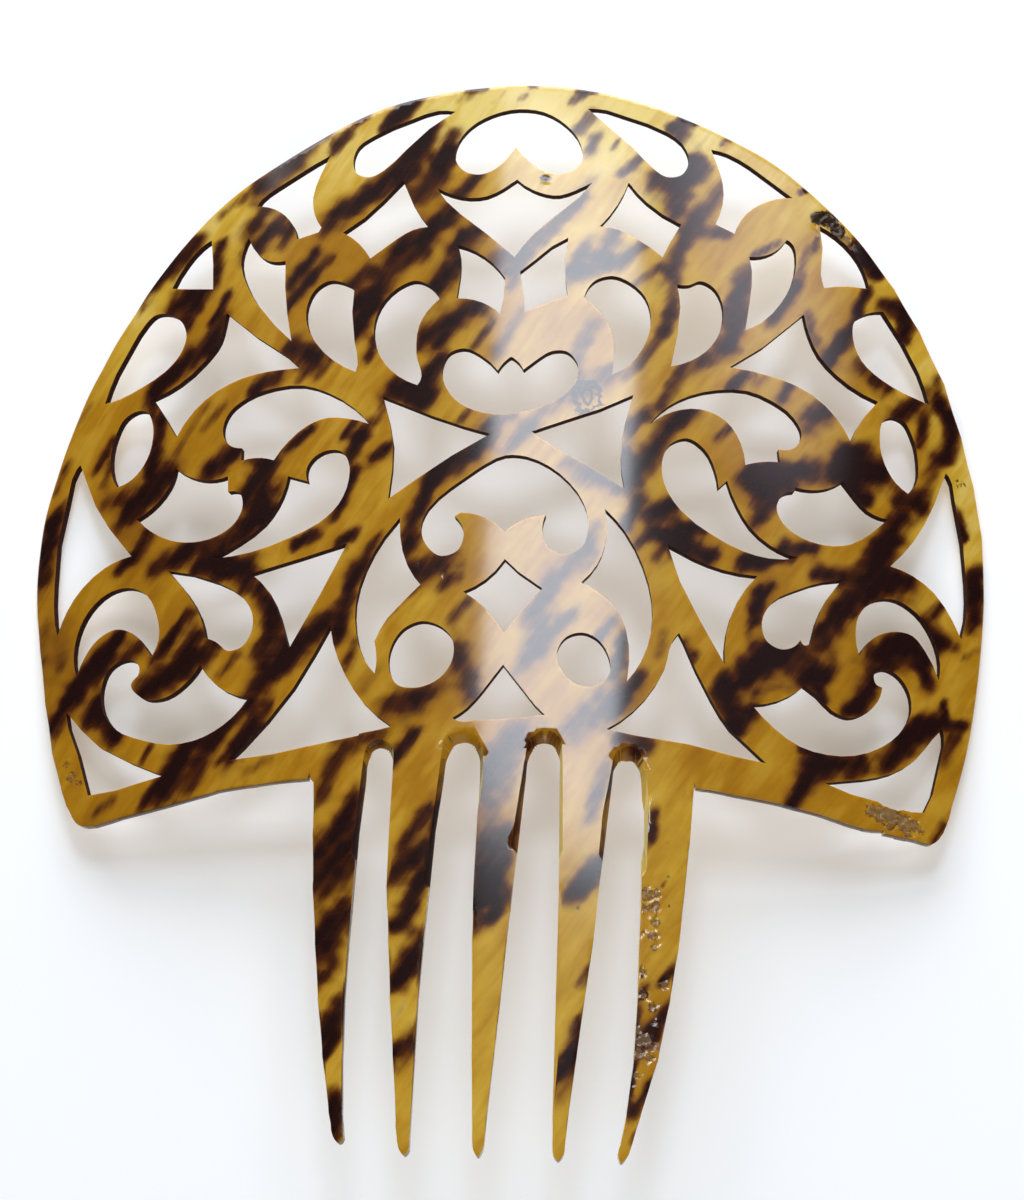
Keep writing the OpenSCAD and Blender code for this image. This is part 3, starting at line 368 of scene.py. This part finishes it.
def grid(starts, ends, cell):
    # Points of a triangle grid that lie inside the loops
    low, high = starts.min(0), starts.max(0)
    rowStep = cell * 0.866
    rows = []
    for j, v in enumerate(np.arange(low[1], high[1], rowStep)):
        us = np.arange(low[0] + (cell / 2 if j % 2 else 0), high[0], cell)
        us = us[np.searchsorted(crossings(starts, ends, v), us) % 2 == 1]
        rows.append(np.column_stack((us, np.full(len(us), v))))
    return np.vstack(rows)


def dotted(starts, ends):
    # Search tree of points set closely along the loops
    step = workings["dotStep"]
    tree = KDTree(int(np.hypot(*(ends - starts).T).sum() / step) + len(starts) * 2)
    count = 0
    for a, b in zip(starts, ends):
        steps = int(np.hypot(*(b - a)) / step) + 1
        for i in range(steps):
            tree.insert((*(a + (b - a) * i / steps), 0), count)
            count += 1
    tree.balance()
    return tree


def clearOf(points, tree, reach):
    # Those points that are at least reach away from the loops
    return np.array([p for p in points if tree.find((*p, 0))[2] > reach]).reshape(-1, 2)


def wearAt(flat):
    # How rough and how deep the damage is at each point, in full up to a quarter of its reach
    amount = np.zeros(len(flat))
    depth = np.zeros(len(flat))
    for u, v, reach, rough, deep in wearRows:
        near = np.clip(1.25 - np.hypot(flat[:, 0] - u, flat[:, 1] - v) / reach, 0, 1)
        amount = np.maximum(amount, near * rough)
        depth = np.maximum(depth, near * deep)
    return amount, depth


def markAt(flat, rough):
    # How dark the marks are at each point. Roughness makes their edges uneven.
    marks = np.zeros(len(flat))
    uneven = rough * 0.35
    for u, v, wide, high, line, strength in markRows:
        away = np.hypot((flat[:, 0] - u) / wide, (flat[:, 1] - v) / high) + uneven
        if line:
            amount = np.clip(1.3 - np.abs(away - 1) * min(wide, high) / line * 2, 0, 1)
        else:
            amount = np.clip((1.25 - away) * 2, 0, 1)
        marks = np.maximum(marks, amount * strength)
    return marks


def newSkin(bm, edges, level):
    # Fills one skin between its edges with even triangles
    look = combLook
    keys = sorted({v for e in edges for v in e.verts}, key=lambda v: v.index)
    place = {v: i for i, v in enumerate(keys)}
    border = np.array([(v.co.x, v.co.y) for v in keys])
    pairs = [(place[e.verts[0]], place[e.verts[1]]) for e in edges]
    starts = border[[a for a, b in pairs]]
    ends = border[[b for a, b in pairs]]
    coarse = grid(starts, ends, look["cell"])
    coarse = coarse[wearAt(coarse)[0] <= look["fineFrom"]]
    fine = grid(starts, ends, look["fineCell"])
    fine = fine[wearAt(fine)[0] > look["fineFrom"]]
    tree = dotted(starts, ends)
    inner = np.vstack((clearOf(coarse, tree, look["cell"] * workings["cellGap"]),
                       clearOf(fine, tree, look["fineCell"] * workings["cellGap"])))
    everything = [Vector(p) for p in np.vstack((border, inner))]
    # Most of the skin's edges come out by themselves, and only the others are asked for
    plain = {frozenset(e) for e in delaunay_2d_cdt(everything, [], [], 0, 1e-6)[1]}
    asked = [pair for pair in pairs if frozenset(pair) not in plain]
    out = delaunay_2d_cdt(everything, asked, [], 0, 1e-6)
    coords, faces, origins = np.array([tuple(c) for c in out[0]]), out[2], out[3]
    within = {}
    for i, f in enumerate(faces):
        # Only a triangle between three points of the loops can lie outside them
        if max(f) < len(border):
            u, v = coords[list(f)].mean(0)
            within[i] = np.searchsorted(crossings(starts, ends, v), u) % 2 == 1
    made = {}
    for i, origin in enumerate(origins):
        first = min(origin) if len(origin) else len(keys)
        made[i] = keys[first] if first < len(keys) else bm.verts.new((*coords[i], level))
    for i, f in enumerate(faces):
        if within.get(i, True):
            corners = [made[i] for i in f]
            if len(set(corners)) == 3 and bm.faces.get(corners) is None:
                bm.faces.new(corners)
    print("skin at", level, "mm:", len(inner), "inner points,",
          len(asked), "of", len(pairs), "edges asked for")


def activate(piece):
    bpy.ops.object.select_all(action="DESELECT")
    bpy.context.view_layer.objects.active = piece
    piece.select_set(True)


def onLevel(item, level):
    return all(abs(v.co.z - level) < workings["onSkin"] for v in item.verts)


def rimEdges(bm, level):
    return [e for e in bm.edges if len(e.link_faces) == 1 and onLevel(e, level)]


def splitLoops(edges):
    # The closed loops that a set of edges makes
    loops, left = [], set(edges)
    while left:
        loop, ahead = set(), [next(iter(left))]
        while ahead:
            e = ahead.pop()
            if e not in loop:
                loop.add(e)
                ahead += [o for v in e.verts for o in v.link_edges if o in left and o not in loop]
        left -= loop
        loops.append(loop)
    return loops


def isOutline(loop):
    us = [v.co.x for e in loop for v in e.verts]
    return max(us) - min(us) > workings["outlineWidth"]


def levelWith(v, other):
    return abs(v.co.z - other.co.z) < workings["alongLevel"]


def evenRims(bm):
    # The CAD's rim and slot tops are made of flats, and here they are drawn into even curves
    look = combLook
    rim = {v for level in (0.0, lie["sheet"]) for loop in splitLoops(rimEdges(bm, level))
           if isOutline(loop) for e in loop for v in e.verts}
    levelEdges = [e for e in bm.edges if levelWith(*e.verts)]
    pull = {}

    def onArch(v):
        return abs(v.co.x) < look["archSide"] and look["archFrom"] < v.co.y < look["archTo"]

    def onRim(v):
        return v in rim and v.co.y > look["rimFrom"]

    for e in levelEdges:
        ends = e.verts
        long = (ends[0].co - ends[1].co).length
        if long > workings["shortest"] and (all(onArch(v) for v in ends) or all(onRim(v) for v in ends)):
            arched = onArch(ends[0])
            step = look["archStep"] if arched else look["rimStep"]
            share = look["archShare"] if arched else look["rimShare"]
            for piece in range(int(long / step), 0, -1):
                made = bmesh.utils.edge_split(e, e.verts[0], 1 / (piece + 1))[1]
                pull[made] = share
                if not arched:
                    rim.add(made)
            for v in ends:
                pull.setdefault(v, share)
    for v in pull:
        for u, up in look["archCentres"]:
            x, y = v.co.x - u, v.co.y - up
            away = math.hypot(x, y)
            if y > 0 and away < look["archReach"]:
                fuller = 1 + look["archFuller"] * math.sin(2 * math.atan2(y, x)) ** 2 / away
                v.co.x, v.co.y = u + x * fuller, up + y * fuller
    near = {}
    for v, share in list(pull.items()):
        along = [e.other_vert(v) for e in v.link_edges if levelWith(e.other_vert(v), v)]
        if len(along) == 2:
            a, b = ((o.co.xy - v.co.xy) for o in along)
            if min(a.length, b.length) > workings["apart"]:
                if abs(math.pi - a.angle(b)) < math.radians(look["keptTurn"]):
                    near[v] = (*along, share)
    was = {v: v.co.xy.copy() for v in near}
    for turn in range(look["evenRounds"]):
        new = {v: v.co.xy.lerp((a.co.xy + b.co.xy) / 2, share) for v, (a, b, share) in near.items()}
        for v, spot in new.items():
            v.co.x, v.co.y = spot
    furthest = max((v.co.xy - was[v]).length for v in near)
    print("evened points:", len(near), "furthest slide along the rim:", round(furthest, 2), "mm")


def inSlot(v):
    return abs(v.co.x) < workings["slotSide"] and workings["slotFrom"] < v.co.y < workings["slotTo"]


def buildComb():
    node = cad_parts["comb"]
    flatMesh = bpy.data.meshes.new("comb_sheet")
    bm = bmesh.new()
    bm.from_mesh(node.data)
    weight = bm.edges.layers.float.new("bevel_weight_edge")
    bmesh.ops.remove_doubles(bm, verts=bm.verts, dist=2e-7)
    flat = flatten(np.array([v.co[:] for v in bm.verts]))
    for v, p in zip(bm.verts, flat):
        v.co = p
    thick = lie["sheet"]
    skins = [f for level in (0.0, thick) for f in bm.faces if onLevel(f, level)]
    bmesh.ops.delete(bm, geom=skins, context="FACES_ONLY")
    loose = [e for e in bm.edges if not e.link_faces]
    bmesh.ops.delete(bm, geom=loose, context="EDGES")
    evenRims(bm)
    bmesh.ops.triangulate(bm, faces=[f for f in bm.faces if len(f.verts) > 3])
    bm.verts.index_update()
    rims = [rimEdges(bm, level) for level in (0.0, thick)]
    for edges, level in zip(rims, (0.0, thick)):
        newSkin(bm, edges, level)
    bm.verts.ensure_lookup_table()
    bmesh.ops.recalc_face_normals(bm, faces=bm.faces)
    openEdges = sum(len(e.link_faces) != 2 for e in bm.edges)
    print("open edges:", openEdges, "faces:", len(bm.faces))

    # Only the outer outline is rounded, and not where the slots are filed
    outline = []
    for loop in [loop for edges in rims for loop in splitLoops(edges) if isOutline(loop)]:
        outline += [[v.co.xy[:] for v in e.verts] for e in loop]
        for e in loop:
            shortest = min(o.calc_length() for v in e.verts for o in v.link_edges if o in loop)
            e[weight] = min(1, shortest * workings["roundShare"] / combLook["rimRound"])
            if all(inSlot(v) for v in e.verts):
                e[weight] = 0
    bm.to_mesh(flatMesh)
    bm.free()
    piece = rounded(flatMesh)
    outline = np.array(outline)
    return piece, dotted(outline[:, 0], outline[:, 1])


def folds(mesh):
    # Middles of the edges at which the surface turns back on itself
    bm = bmesh.new()
    bm.from_mesh(mesh)
    sharpest = math.radians(workings["foldTurn"])
    found = [(e.verts[0].co + e.verts[1].co) / 2 for e in bm.edges if e.calc_face_angle(0) > sharpest]
    bm.free()
    return found


def rounded(flatMesh):
    # Where the rim is too narrow or too finely cut for its rounding, the rounding is made smaller
    last = workings["trials"] - 1
    for trial in range(last + 1):
        piece = bpy.data.objects.new("comb_body", flatMesh.copy())
        bpy.context.collection.objects.link(piece)
        activate(piece)
        rounding = piece.modifiers.new("rounding", "BEVEL")
        rounding.width = combLook["rimRound"]
        rounding.segments = 2
        rounding.limit_method = "WEIGHT"
        rounding.use_clamp_overlap = False
        bpy.ops.object.modifier_apply(modifier="rounding")
        bad = folds(piece.data)
        print("rounding: trial", trial, "folded edges:", len(bad))
        if not bad or trial == last:
            break
        tree = KDTree(len(bad))
        for i, place in enumerate(bad):
            tree.insert(place, i)
        tree.balance()
        weights = flatMesh.attributes["bevel_weight_edge"].data
        for edge, weight in zip(flatMesh.edges, weights):
            if weight.value > 0:
                ends = [flatMesh.vertices[i].co for i in edge.vertices]
                steps = int((ends[1] - ends[0]).length / workings["foldStep"]) + 2
                spots = [ends[0].lerp(ends[1], i / steps) for i in range(steps + 1)]
                if min(tree.find(spot)[2] for spot in spots) < workings["foldReach"]:
                    weight.value *= 0 if trial > 1 else 0.5
        bpy.data.objects.remove(piece)
    return piece


def alongRun(points):
    # The sheet turned so that the run of the colours is its first axis, and pressed together along it
    run = math.radians(combLook["run"])
    turn = np.array(((math.cos(run), math.sin(run)), (-math.sin(run), math.cos(run))))
    return points @ turn.T / (combLook["drawn"], 1)


def charted(flat):
    # How dark the streaks are at each point, with wavering edges
    dark = np.zeros(len(flat))
    waver = np.array([noise.noise(Vector((u * 0.35 - v * 0.2, u * 0.14 + v * 0.45, 3.1)))
                      for u, v, w in flat]) * combLook["streakWaver"]
    spots = alongRun(flat[:, :2])
    for u0, v0, u1, v1, half, strength in streakRows:
        a, b = alongRun(np.array(((u0, v0), (u1, v1))))
        low, high = np.minimum(a, b) - half * 3, np.maximum(a, b) + half * 3
        near = np.where(((spots > low) & (spots < high)).all(1))[0]
        d = b - a
        t = np.clip(((spots[near] - a) @ d) / max(d @ d, 1e-9), 0.08, 0.92)
        gap = np.hypot(*(spots[near] - (a + t[:, None] * d)).T) / half + waver[near]
        value = strength * np.exp(-(np.maximum(gap, 0) / combLook["streakSoft"]) ** 2)
        dark[near] = 1 - (1 - dark[near]) * (1 - value)
    return dark


def toneAndGlowAt(flat):
    # Mean of the tone rows round each point, and of a little plain amber
    look = combLook
    amber = 0.5
    total = np.full(len(flat), look["plainPull"])
    tone = total * amber
    for u, v, reach, value in toneAndGlowRows:
        away = ((flat[:, 0] - u) ** 2 + (flat[:, 1] - v) ** 2) / (reach * look["toneReach"]) ** 2
        pull = np.exp(-away) * look["tonePull"]
        total += pull
        tone += pull * value
    return tone / total


def lumps(u, v):
    # Roughness of a damaged place, about zero
    coarse = noise.noise(Vector((u * 1.1, v * 1.1, 7.0)))
    return coarse + noise.noise(Vector((u * 2.3, v * 2.3, 2.0))) * 0.6


def store(mesh, name, domain, values):
    mesh.attributes.new(name, "FLOAT", domain).data.foreach_set("value", values)


def finishComb(piece, outline):
    # Attributes for the shell, roughness of the damaged places, and the sheet's bend
    mesh = piece.data
    flat = np.empty(len(mesh.vertices) * 3)
    mesh.vertices.foreach_get("co", flat)
    flat = flat.reshape(-1, 3)
    wear, depth = wearAt(flat)
    onFront = 1 - flat[:, 2] / lie["sheet"] > workings["frontFrom"]
    rough = np.array([lumps(u, v) if amount > 0 else 0 for (u, v, w), amount in zip(flat, wear)])
    sink = depth * np.clip(rough * 1.5 + 0.1, -0.7, 1) * onFront
    store(mesh, "streak", "POINT", charted(flat))
    store(mesh, "tone", "POINT", toneAndGlowAt(flat))
    store(mesh, "worn", "POINT", wear)
    store(mesh, "marked", "POINT", markAt(flat, rough) * onFront)

    normals = np.empty(len(mesh.polygons) * 3)
    mesh.polygons.foreach_get("normal", normals)
    normals = normals.reshape(-1, 3)
    centres = np.empty(len(mesh.polygons) * 3)
    mesh.polygons.foreach_get("center", centres)
    centres = centres.reshape(-1, 3)
    upright = np.abs(normals[:, 2])
    steep = np.clip((workings["steepFrom"] - upright) / workings["steepOver"], 0, 1)
    outer = np.array([lean > 0 and outline.find((u, v, 0))[2] < workings["outlineReach"]
                      for (u, v, w), lean in zip(centres, steep)])
    # Painted shade and painted highlight on the outer walls, by how each faces the light: they are
    # painted dark where they face down, and on the tines also where they face right. They are painted
    # pale where they face left, and on the heading also where they face up.
    heading = centres[:, 1] > combLook["rimFrom"]
    below = np.clip(-normals[:, 1] * 3 - 1, 0, 1)
    rightward = normals[:, 0] * 2
    dark = np.maximum(below, np.clip(rightward, 0, 1) * ~heading)
    litPale = np.clip(heading - rightward, 0, 1)
    store(mesh, "wall", "FACE", steep * outer * dark)
    store(mesh, "fringe", "FACE", steep * outer * (1 - below) * litPale)
    # The filed faces: their roughness and coat are the filed plastic's own, their darker colour is
    # painted shade
    filed = np.abs(centres[:, 0]) < workings["filedSide"]
    for measure, key in ((upright, "filedSlope"), (centres[:, 1], "filedHeight"),
                         (centres[:, 2], "filedDepth")):
        low, high = workings[key]
        filed &= (measure > low) & (measure < high)
    store(mesh, "filed", "FACE", filed.astype(float))
    sawn = (steep > 0) & ~outer
    mesh.polygons.foreach_set("material_index", sawn.astype(np.int32))

    layer = mesh.uv_layers.new(name="flat")
    corner = np.empty(len(mesh.loops), int)
    mesh.loops.foreach_get("vertex_index", corner)
    layer.data.foreach_set("uv", (flat[corner][:, :2] / 10.0).ravel())

    flat[:, 2] += sink
    mesh.vertices.foreach_set("co", bend(flat).astype(np.float32).ravel())
    mesh.update()
    activate(piece)
    bpy.ops.object.mode_set(mode="EDIT")
    bpy.ops.mesh.select_all(action="SELECT")
    bpy.ops.mesh.normals_make_consistent(inside=False)
    bpy.ops.object.mode_set(mode="OBJECT")
    bpy.ops.mesh.customdata_custom_splitnormals_clear()
    bpy.ops.object.shade_smooth_by_angle(angle=math.radians(50))
    evened = piece.modifiers.new("evened", "WEIGHTED_NORMAL")
    evened.keep_sharp = True
    bpy.ops.object.modifier_apply(modifier="evened")


class Value:
    # An output of a shader node, which adds up and multiplies as a number does
    def __init__(self, finish, socket):
        self.finish, self.socket = finish, socket

    def math(self, operation, first, second):
        return self.finish.node("Math", {"operation": operation}, {0: first, 1: second})

    def __add__(self, other): return self.math("ADD", self, other)
    def __radd__(self, other): return self.math("ADD", other, self)
    def __sub__(self, other): return self.math("SUBTRACT", self, other)
    def __rsub__(self, other): return self.math("SUBTRACT", other, self)
    def __mul__(self, other): return self.math("MULTIPLY", self, other)
    def __rmul__(self, other): return self.math("MULTIPLY", other, self)

    def between(self, low, high):
        # 0 up to low, 1 from high, smooth in between
        return self.finish.node("MapRange", {"interpolation_type": "SMOOTHSTEP"},
                                {"Value": self, "From Min": low, "From Max": high})


class Finish:
    # A material, and the one way in which a node is added to it
    def __init__(self, name):
        self.material = bpy.data.materials.new(name)
        self.material.use_nodes = True
        self.tree = self.material.node_tree
        self.surface = self.tree.nodes["Principled BSDF"]

    def setStops(self, elements, stops):
        while len(elements) < len(stops):
            elements.new(1)
        for element, (place, colour) in zip(elements, stops):
            element.position, element.color = place, colour

    def put(self, target, inputs):
        for key, value in inputs.items():
            if isinstance(value, Value):
                self.tree.links.new(value.socket, target.inputs[key])
            else:
                target.inputs[key].default_value = value

    def node(self, kind, settings={}, inputs={}, output=0):
        made = self.tree.nodes.new("ShaderNode" + kind)
        for key, setting in settings.items():
            if key == "stops":
                self.setStops(made.color_ramp.elements, setting)
            else:
                setattr(made, key, setting)
        self.put(made, inputs)
        return Value(self, made.outputs[output])


def attribute(finish, name):
    return finish.node("Attribute", {"attribute_name": name}, output="Fac")


def flatSpot(finish, stretch, turn):
    # Place on the flat sheet in centimetres, drawn out along one direction
    return finish.node("Mapping", {"vector_type": "TEXTURE"}, {
        "Vector": finish.node("UVMap", {"uv_map": "flat"}), "Scale": (stretch, 1, 1),
        "Rotation": (0, 0, math.radians(turn))})


def grain(finish, name):
    # Noise about zero, along the run of the colours or in a direction of its own
    look = combLook
    stretch, turn, scale, detail, rough, twist = look["grains"][name]
    return finish.node("TexNoise", {}, {
        "Vector": flatSpot(finish, stretch, look.get(turn, turn)), "Scale": scale,
        "Detail": detail, "Roughness": rough, "Distortion": twist}) - 0.5


def mixed(finish, share, one, two):
    return finish.node("Mix", {"data_type": "RGBA"}, {0: share, 6: one, 7: two}, 2)


def letLightThrough(finish):
    # Lamps shine through the sheet, and are tinted on each of its two faces
    clear = finish.node("BsdfTransparent", {}, {"Color": combLook["lampTint"]})
    shell = Value(finish, finish.surface.outputs["BSDF"])
    towardsLamp = finish.node("LightPath", output="Is Shadow Ray")
    both = finish.node("MixShader", {}, {0: towardsLamp, 1: shell, 2: clear})
    finish.put(finish.tree.nodes["Material Output"], {"Surface": both})


def tortoiseshell():
    look = combLook
    f = Finish("tortoiseshell")
    streak, tone, worn, marked = (attribute(f, name) for name in ("streak", "tone", "worn", "marked"))
    wall, fringe, filed = (attribute(f, name) for name in ("wall", "fringe", "filed"))
    feather, plume, broad, mist, spots, crumb, smear = (
        grain(f, name) for name in ("feather", "plume", "broad", "mist", "spots", "crumb", "smear"))

    # Amber ground, and three depths of streak over it; the filed bevels are painted darker as well, a
    # painted shade
    shade = tone + 0.02 + broad * 0.3 + plume * 0.5 + feather * 0.3
    shell = f.node("ValToRGB", {"stops": look["ground"]}, {"Fac": shade})
    depth = streak * 1.0 + feather * 0.45 + plume * 0.75 + mist * 0.06 + filed * 0.22
    shell = mixed(f, depth.between(0.08, 0.5) * 0.9, shell, look["deep"])
    shell = mixed(f, depth.between(0.34, 0.7), shell, look["brown"])
    shell = mixed(f, depth.between(0.52, 0.95), shell, look["dark"])
    # Crust on the damaged places, darker round its edges, then marks, and the painted shade and painted
    # highlight on the outer walls
    scab = (worn + crumb * 2.0).between(0.4, 0.62) * worn.between(0.3, 0.45)
    shell = mixed(f, scab * 0.75, shell, look["crust"])
    shell = mixed(f, scab * (1 - scab) * 3.4, shell, look["brown"])
    shell = mixed(f, (marked + spots * 0.6).between(0.2, 0.6) * 0.93, shell, look["dark"])
    # painted shade on the outer walls that face away from the light
    shell = mixed(f, wall * 0.8, shell, look["wall"])
    # painted highlight on the outer walls that face the light
    shell = mixed(f, fringe * 0.75, shell, look["fringe"])

    dullness = look["roughness"] + smear * 0.14 + filed * 0.2 + worn.between(0.3, 0.5) * 0.2
    height = broad * 0.5 + spots * 0.1 + (spots + crumb) * worn * 2.0
    f.put(f.surface, {
        "Base Color": shell,
        "Roughness": dullness,
        "Normal": f.node("Bump", {}, {"Height": height, "Strength": 0.5, "Distance": 0.0002}),
        "IOR": 1.5,
        "Specular IOR Level": 0.07,
        "Coat Weight": look["coat"] * (1 - filed * 0.8) * (1 - scab * 0.6),
        "Coat Roughness": 0.1,
        "Subsurface Weight": 0.4,
        "Subsurface Radius": (1.0, 0.55, 0.2),
        "Subsurface Scale": 0.0015,
    })
    letLightThrough(f)
    return f.material


def sawnEdge():
    f = Finish("sawn edge")
    spots = grain(f, "sawn")
    # The sawn walls' near-black is partly the cut edge's own colour and partly painted shade
    stops = [(0.35, combLook["wall"]), (0.8, combLook["brown"])]
    f.put(f.surface, {
        "Base Color": f.node("ValToRGB", {"stops": stops}, {"Fac": spots + 0.5}),
        "Roughness": 0.7,
        "Specular IOR Level": 0.08,
        "Normal": f.node("Bump", {}, {"Height": spots, "Strength": 0.4, "Distance": 0.0001}),
    })
    letLightThrough(f)
    return f.material


def paleFloor():
    f = Finish("pale floor")
    f.put(f.surface, {
        "Base Color": (0.9, 0.91, 0.92, 1),
        "Roughness": 0.8,
        "Specular IOR Level": 0.2,
        "Emission Color": (0.93, 0.96, 1.0, 1),
        "Emission Strength": 0.08,
    })
    return f.material


view = {
    "lean": 22.0,            # camera off the vertical, towards the tines
    "side": 3.9,             # and to the right
    "spin": 0.95,
    "levelLean": 9.0,        # how the picture's level lies against the comb
    "levelTip": 13.0,
    "target": (1.71, 33.0, 0.0),
    "distance": 750.0,
    "lens": 127.6,
    "film": (1024, 1200, 36),  # the photo's width and height in pixels, and the film's height in mm
}


def setCamera():
    lean, side, spin, levelLean, levelTip = (
        math.radians(view[key]) for key in ("lean", "side", "spin", "levelLean", "levelTip"))
    back = Vector((math.sin(side), -math.cos(side) * math.sin(lean), math.cos(side) * math.cos(lean)))
    level = Vector((math.cos(levelLean) * math.cos(side), math.sin(side) * math.sin(levelTip),
                    -math.sin(side) * math.cos(levelTip))).normalized()
    plumb = back.cross(level)
    right = level * math.cos(spin) + plumb * math.sin(spin)
    up = plumb * math.cos(spin) - level * math.sin(spin)
    toRow = rowFromComb()
    spot = (toRow @ (Vector(view["target"]) + back * view["distance"])) / 1000
    turn = toRow.to_3x3()
    axes = Matrix((turn @ right, turn @ up, turn @ back)).transposed()
    wide, high, height = view["film"]
    data = bpy.data.cameras.new("photo camera")
    data.sensor_fit = "VERTICAL"
    data.sensor_height = height
    data.sensor_width = height * wide / high
    data.lens = view["lens"]
    data.clip_start = 0.01
    camera = bpy.data.objects.new("photo camera", data)
    camera.matrix_world = Matrix.Translation(spot) @ axes.to_4x4()
    bpy.context.collection.objects.link(camera)
    bpy.context.scene.camera = camera


# Metres, watts. A panel faces its aim from the given direction and distance.
studio = {
    "worldTint": (0.85, 0.92, 1.0, 1),
    "worldStrength": 0.08,
    "floorSize": 6,
    "floorHeight": -0.0002,  # just below the frame's zero, on which the comb lies
    "aim": (0, 0, 0.01),
    "window": {"direction": (0.034, 0.41, 0.93), "distance": 1.2, "width": 0.34, "height": 0.33,
               "power": 4.3, "tint": (0.84, 0.91, 1.0), "aim": (0.011, 0.04, 0.02)},
    "sky": {"direction": (-0.15, 0.85, 0.62), "distance": 1.7, "width": 1.6, "height": 0.9,
            "power": 22},
    "low sky": {"direction": (0.0, 0.97, 0.24), "distance": 1.6, "width": 1.8, "height": 0.45,
                "power": 9},
    "fill": {"direction": (0.1, -0.62, 0.78), "distance": 1.6, "width": 1.6, "height": 0.8,
             "power": 10},
    # Ovals one over the other, each wider than the last
    "veil": {"direction": (0.54, 0.72, 1.1), "distance": 1.42, "width": 0.32, "height": 0.12,
             "count": 5, "wider": 0.08, "higher": 0.035, "further": 0.004,
             "powerPerArea": 2.3, "tint": (0.88, 0.88, 1.0)},
}


def panel(name, direction, distance, width, height, power, tint=(1, 1, 1), aim=studio["aim"]):
    data = bpy.data.lights.new(name, "AREA")
    data.shape = "RECTANGLE"
    data.size, data.size_y = width, height
    data.energy = power
    data.color = tint
    light = bpy.data.objects.new(name, data)
    towards = Vector(direction).normalized()
    light.location = Vector(aim) + towards * distance
    light.rotation_euler = towards.to_track_quat("Z", "Y").to_euler()
    bpy.context.collection.objects.link(light)
    return light


def addVeil():
    # The pale veil right of the window's reflection, which fades out
    look = studio["veil"]
    for i in range(look["count"]):
        wide, high = look["width"] + look["wider"] * i, look["height"] + look["higher"] * i
        oval = panel("veil", look["direction"], look["distance"] + look["further"] * i, wide, high,
                     look["powerPerArea"] * wide * high, look["tint"])
        oval.data.shape = "ELLIPSE"
        # Its long side lies along the comb's width
        towards = (oval.location - Vector(studio["aim"])).normalized()
        across = (Vector((1, 0, 0)) - towards * towards.x).normalized()
        axes = Matrix((across, towards.cross(across), towards)).transposed()
        oval.rotation_euler = axes.to_euler()


def stage():
    bpy.ops.mesh.primitive_plane_add(size=studio["floorSize"], location=(0, 0, studio["floorHeight"]))
    floor = bpy.context.object
    floor.name = "floor"
    floor.data.materials.append(paleFloor())
    world = bpy.data.worlds.new("studio")
    world.use_nodes = True
    background = world.node_tree.nodes["Background"]
    background.inputs["Color"].default_value = studio["worldTint"]
    background.inputs["Strength"].default_value = studio["worldStrength"]
    bpy.context.scene.world = world
    panel("window", **studio["window"])
    addVeil()
    for name in ("sky", "low sky", "fill"):
        panel(name, **studio[name])
    bpy.context.scene.view_settings.view_transform = "Standard"


print("camera and light")
setCamera()
stage()
print("comb")
body, outline = buildComb()
finishComb(body, outline)
body.data.materials.append(tortoiseshell())
body.data.materials.append(sawnEdge())
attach(body, "root")
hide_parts("comb")
print("triangles:", sum(len(p.vertices) - 2 for p in body.data.polygons))
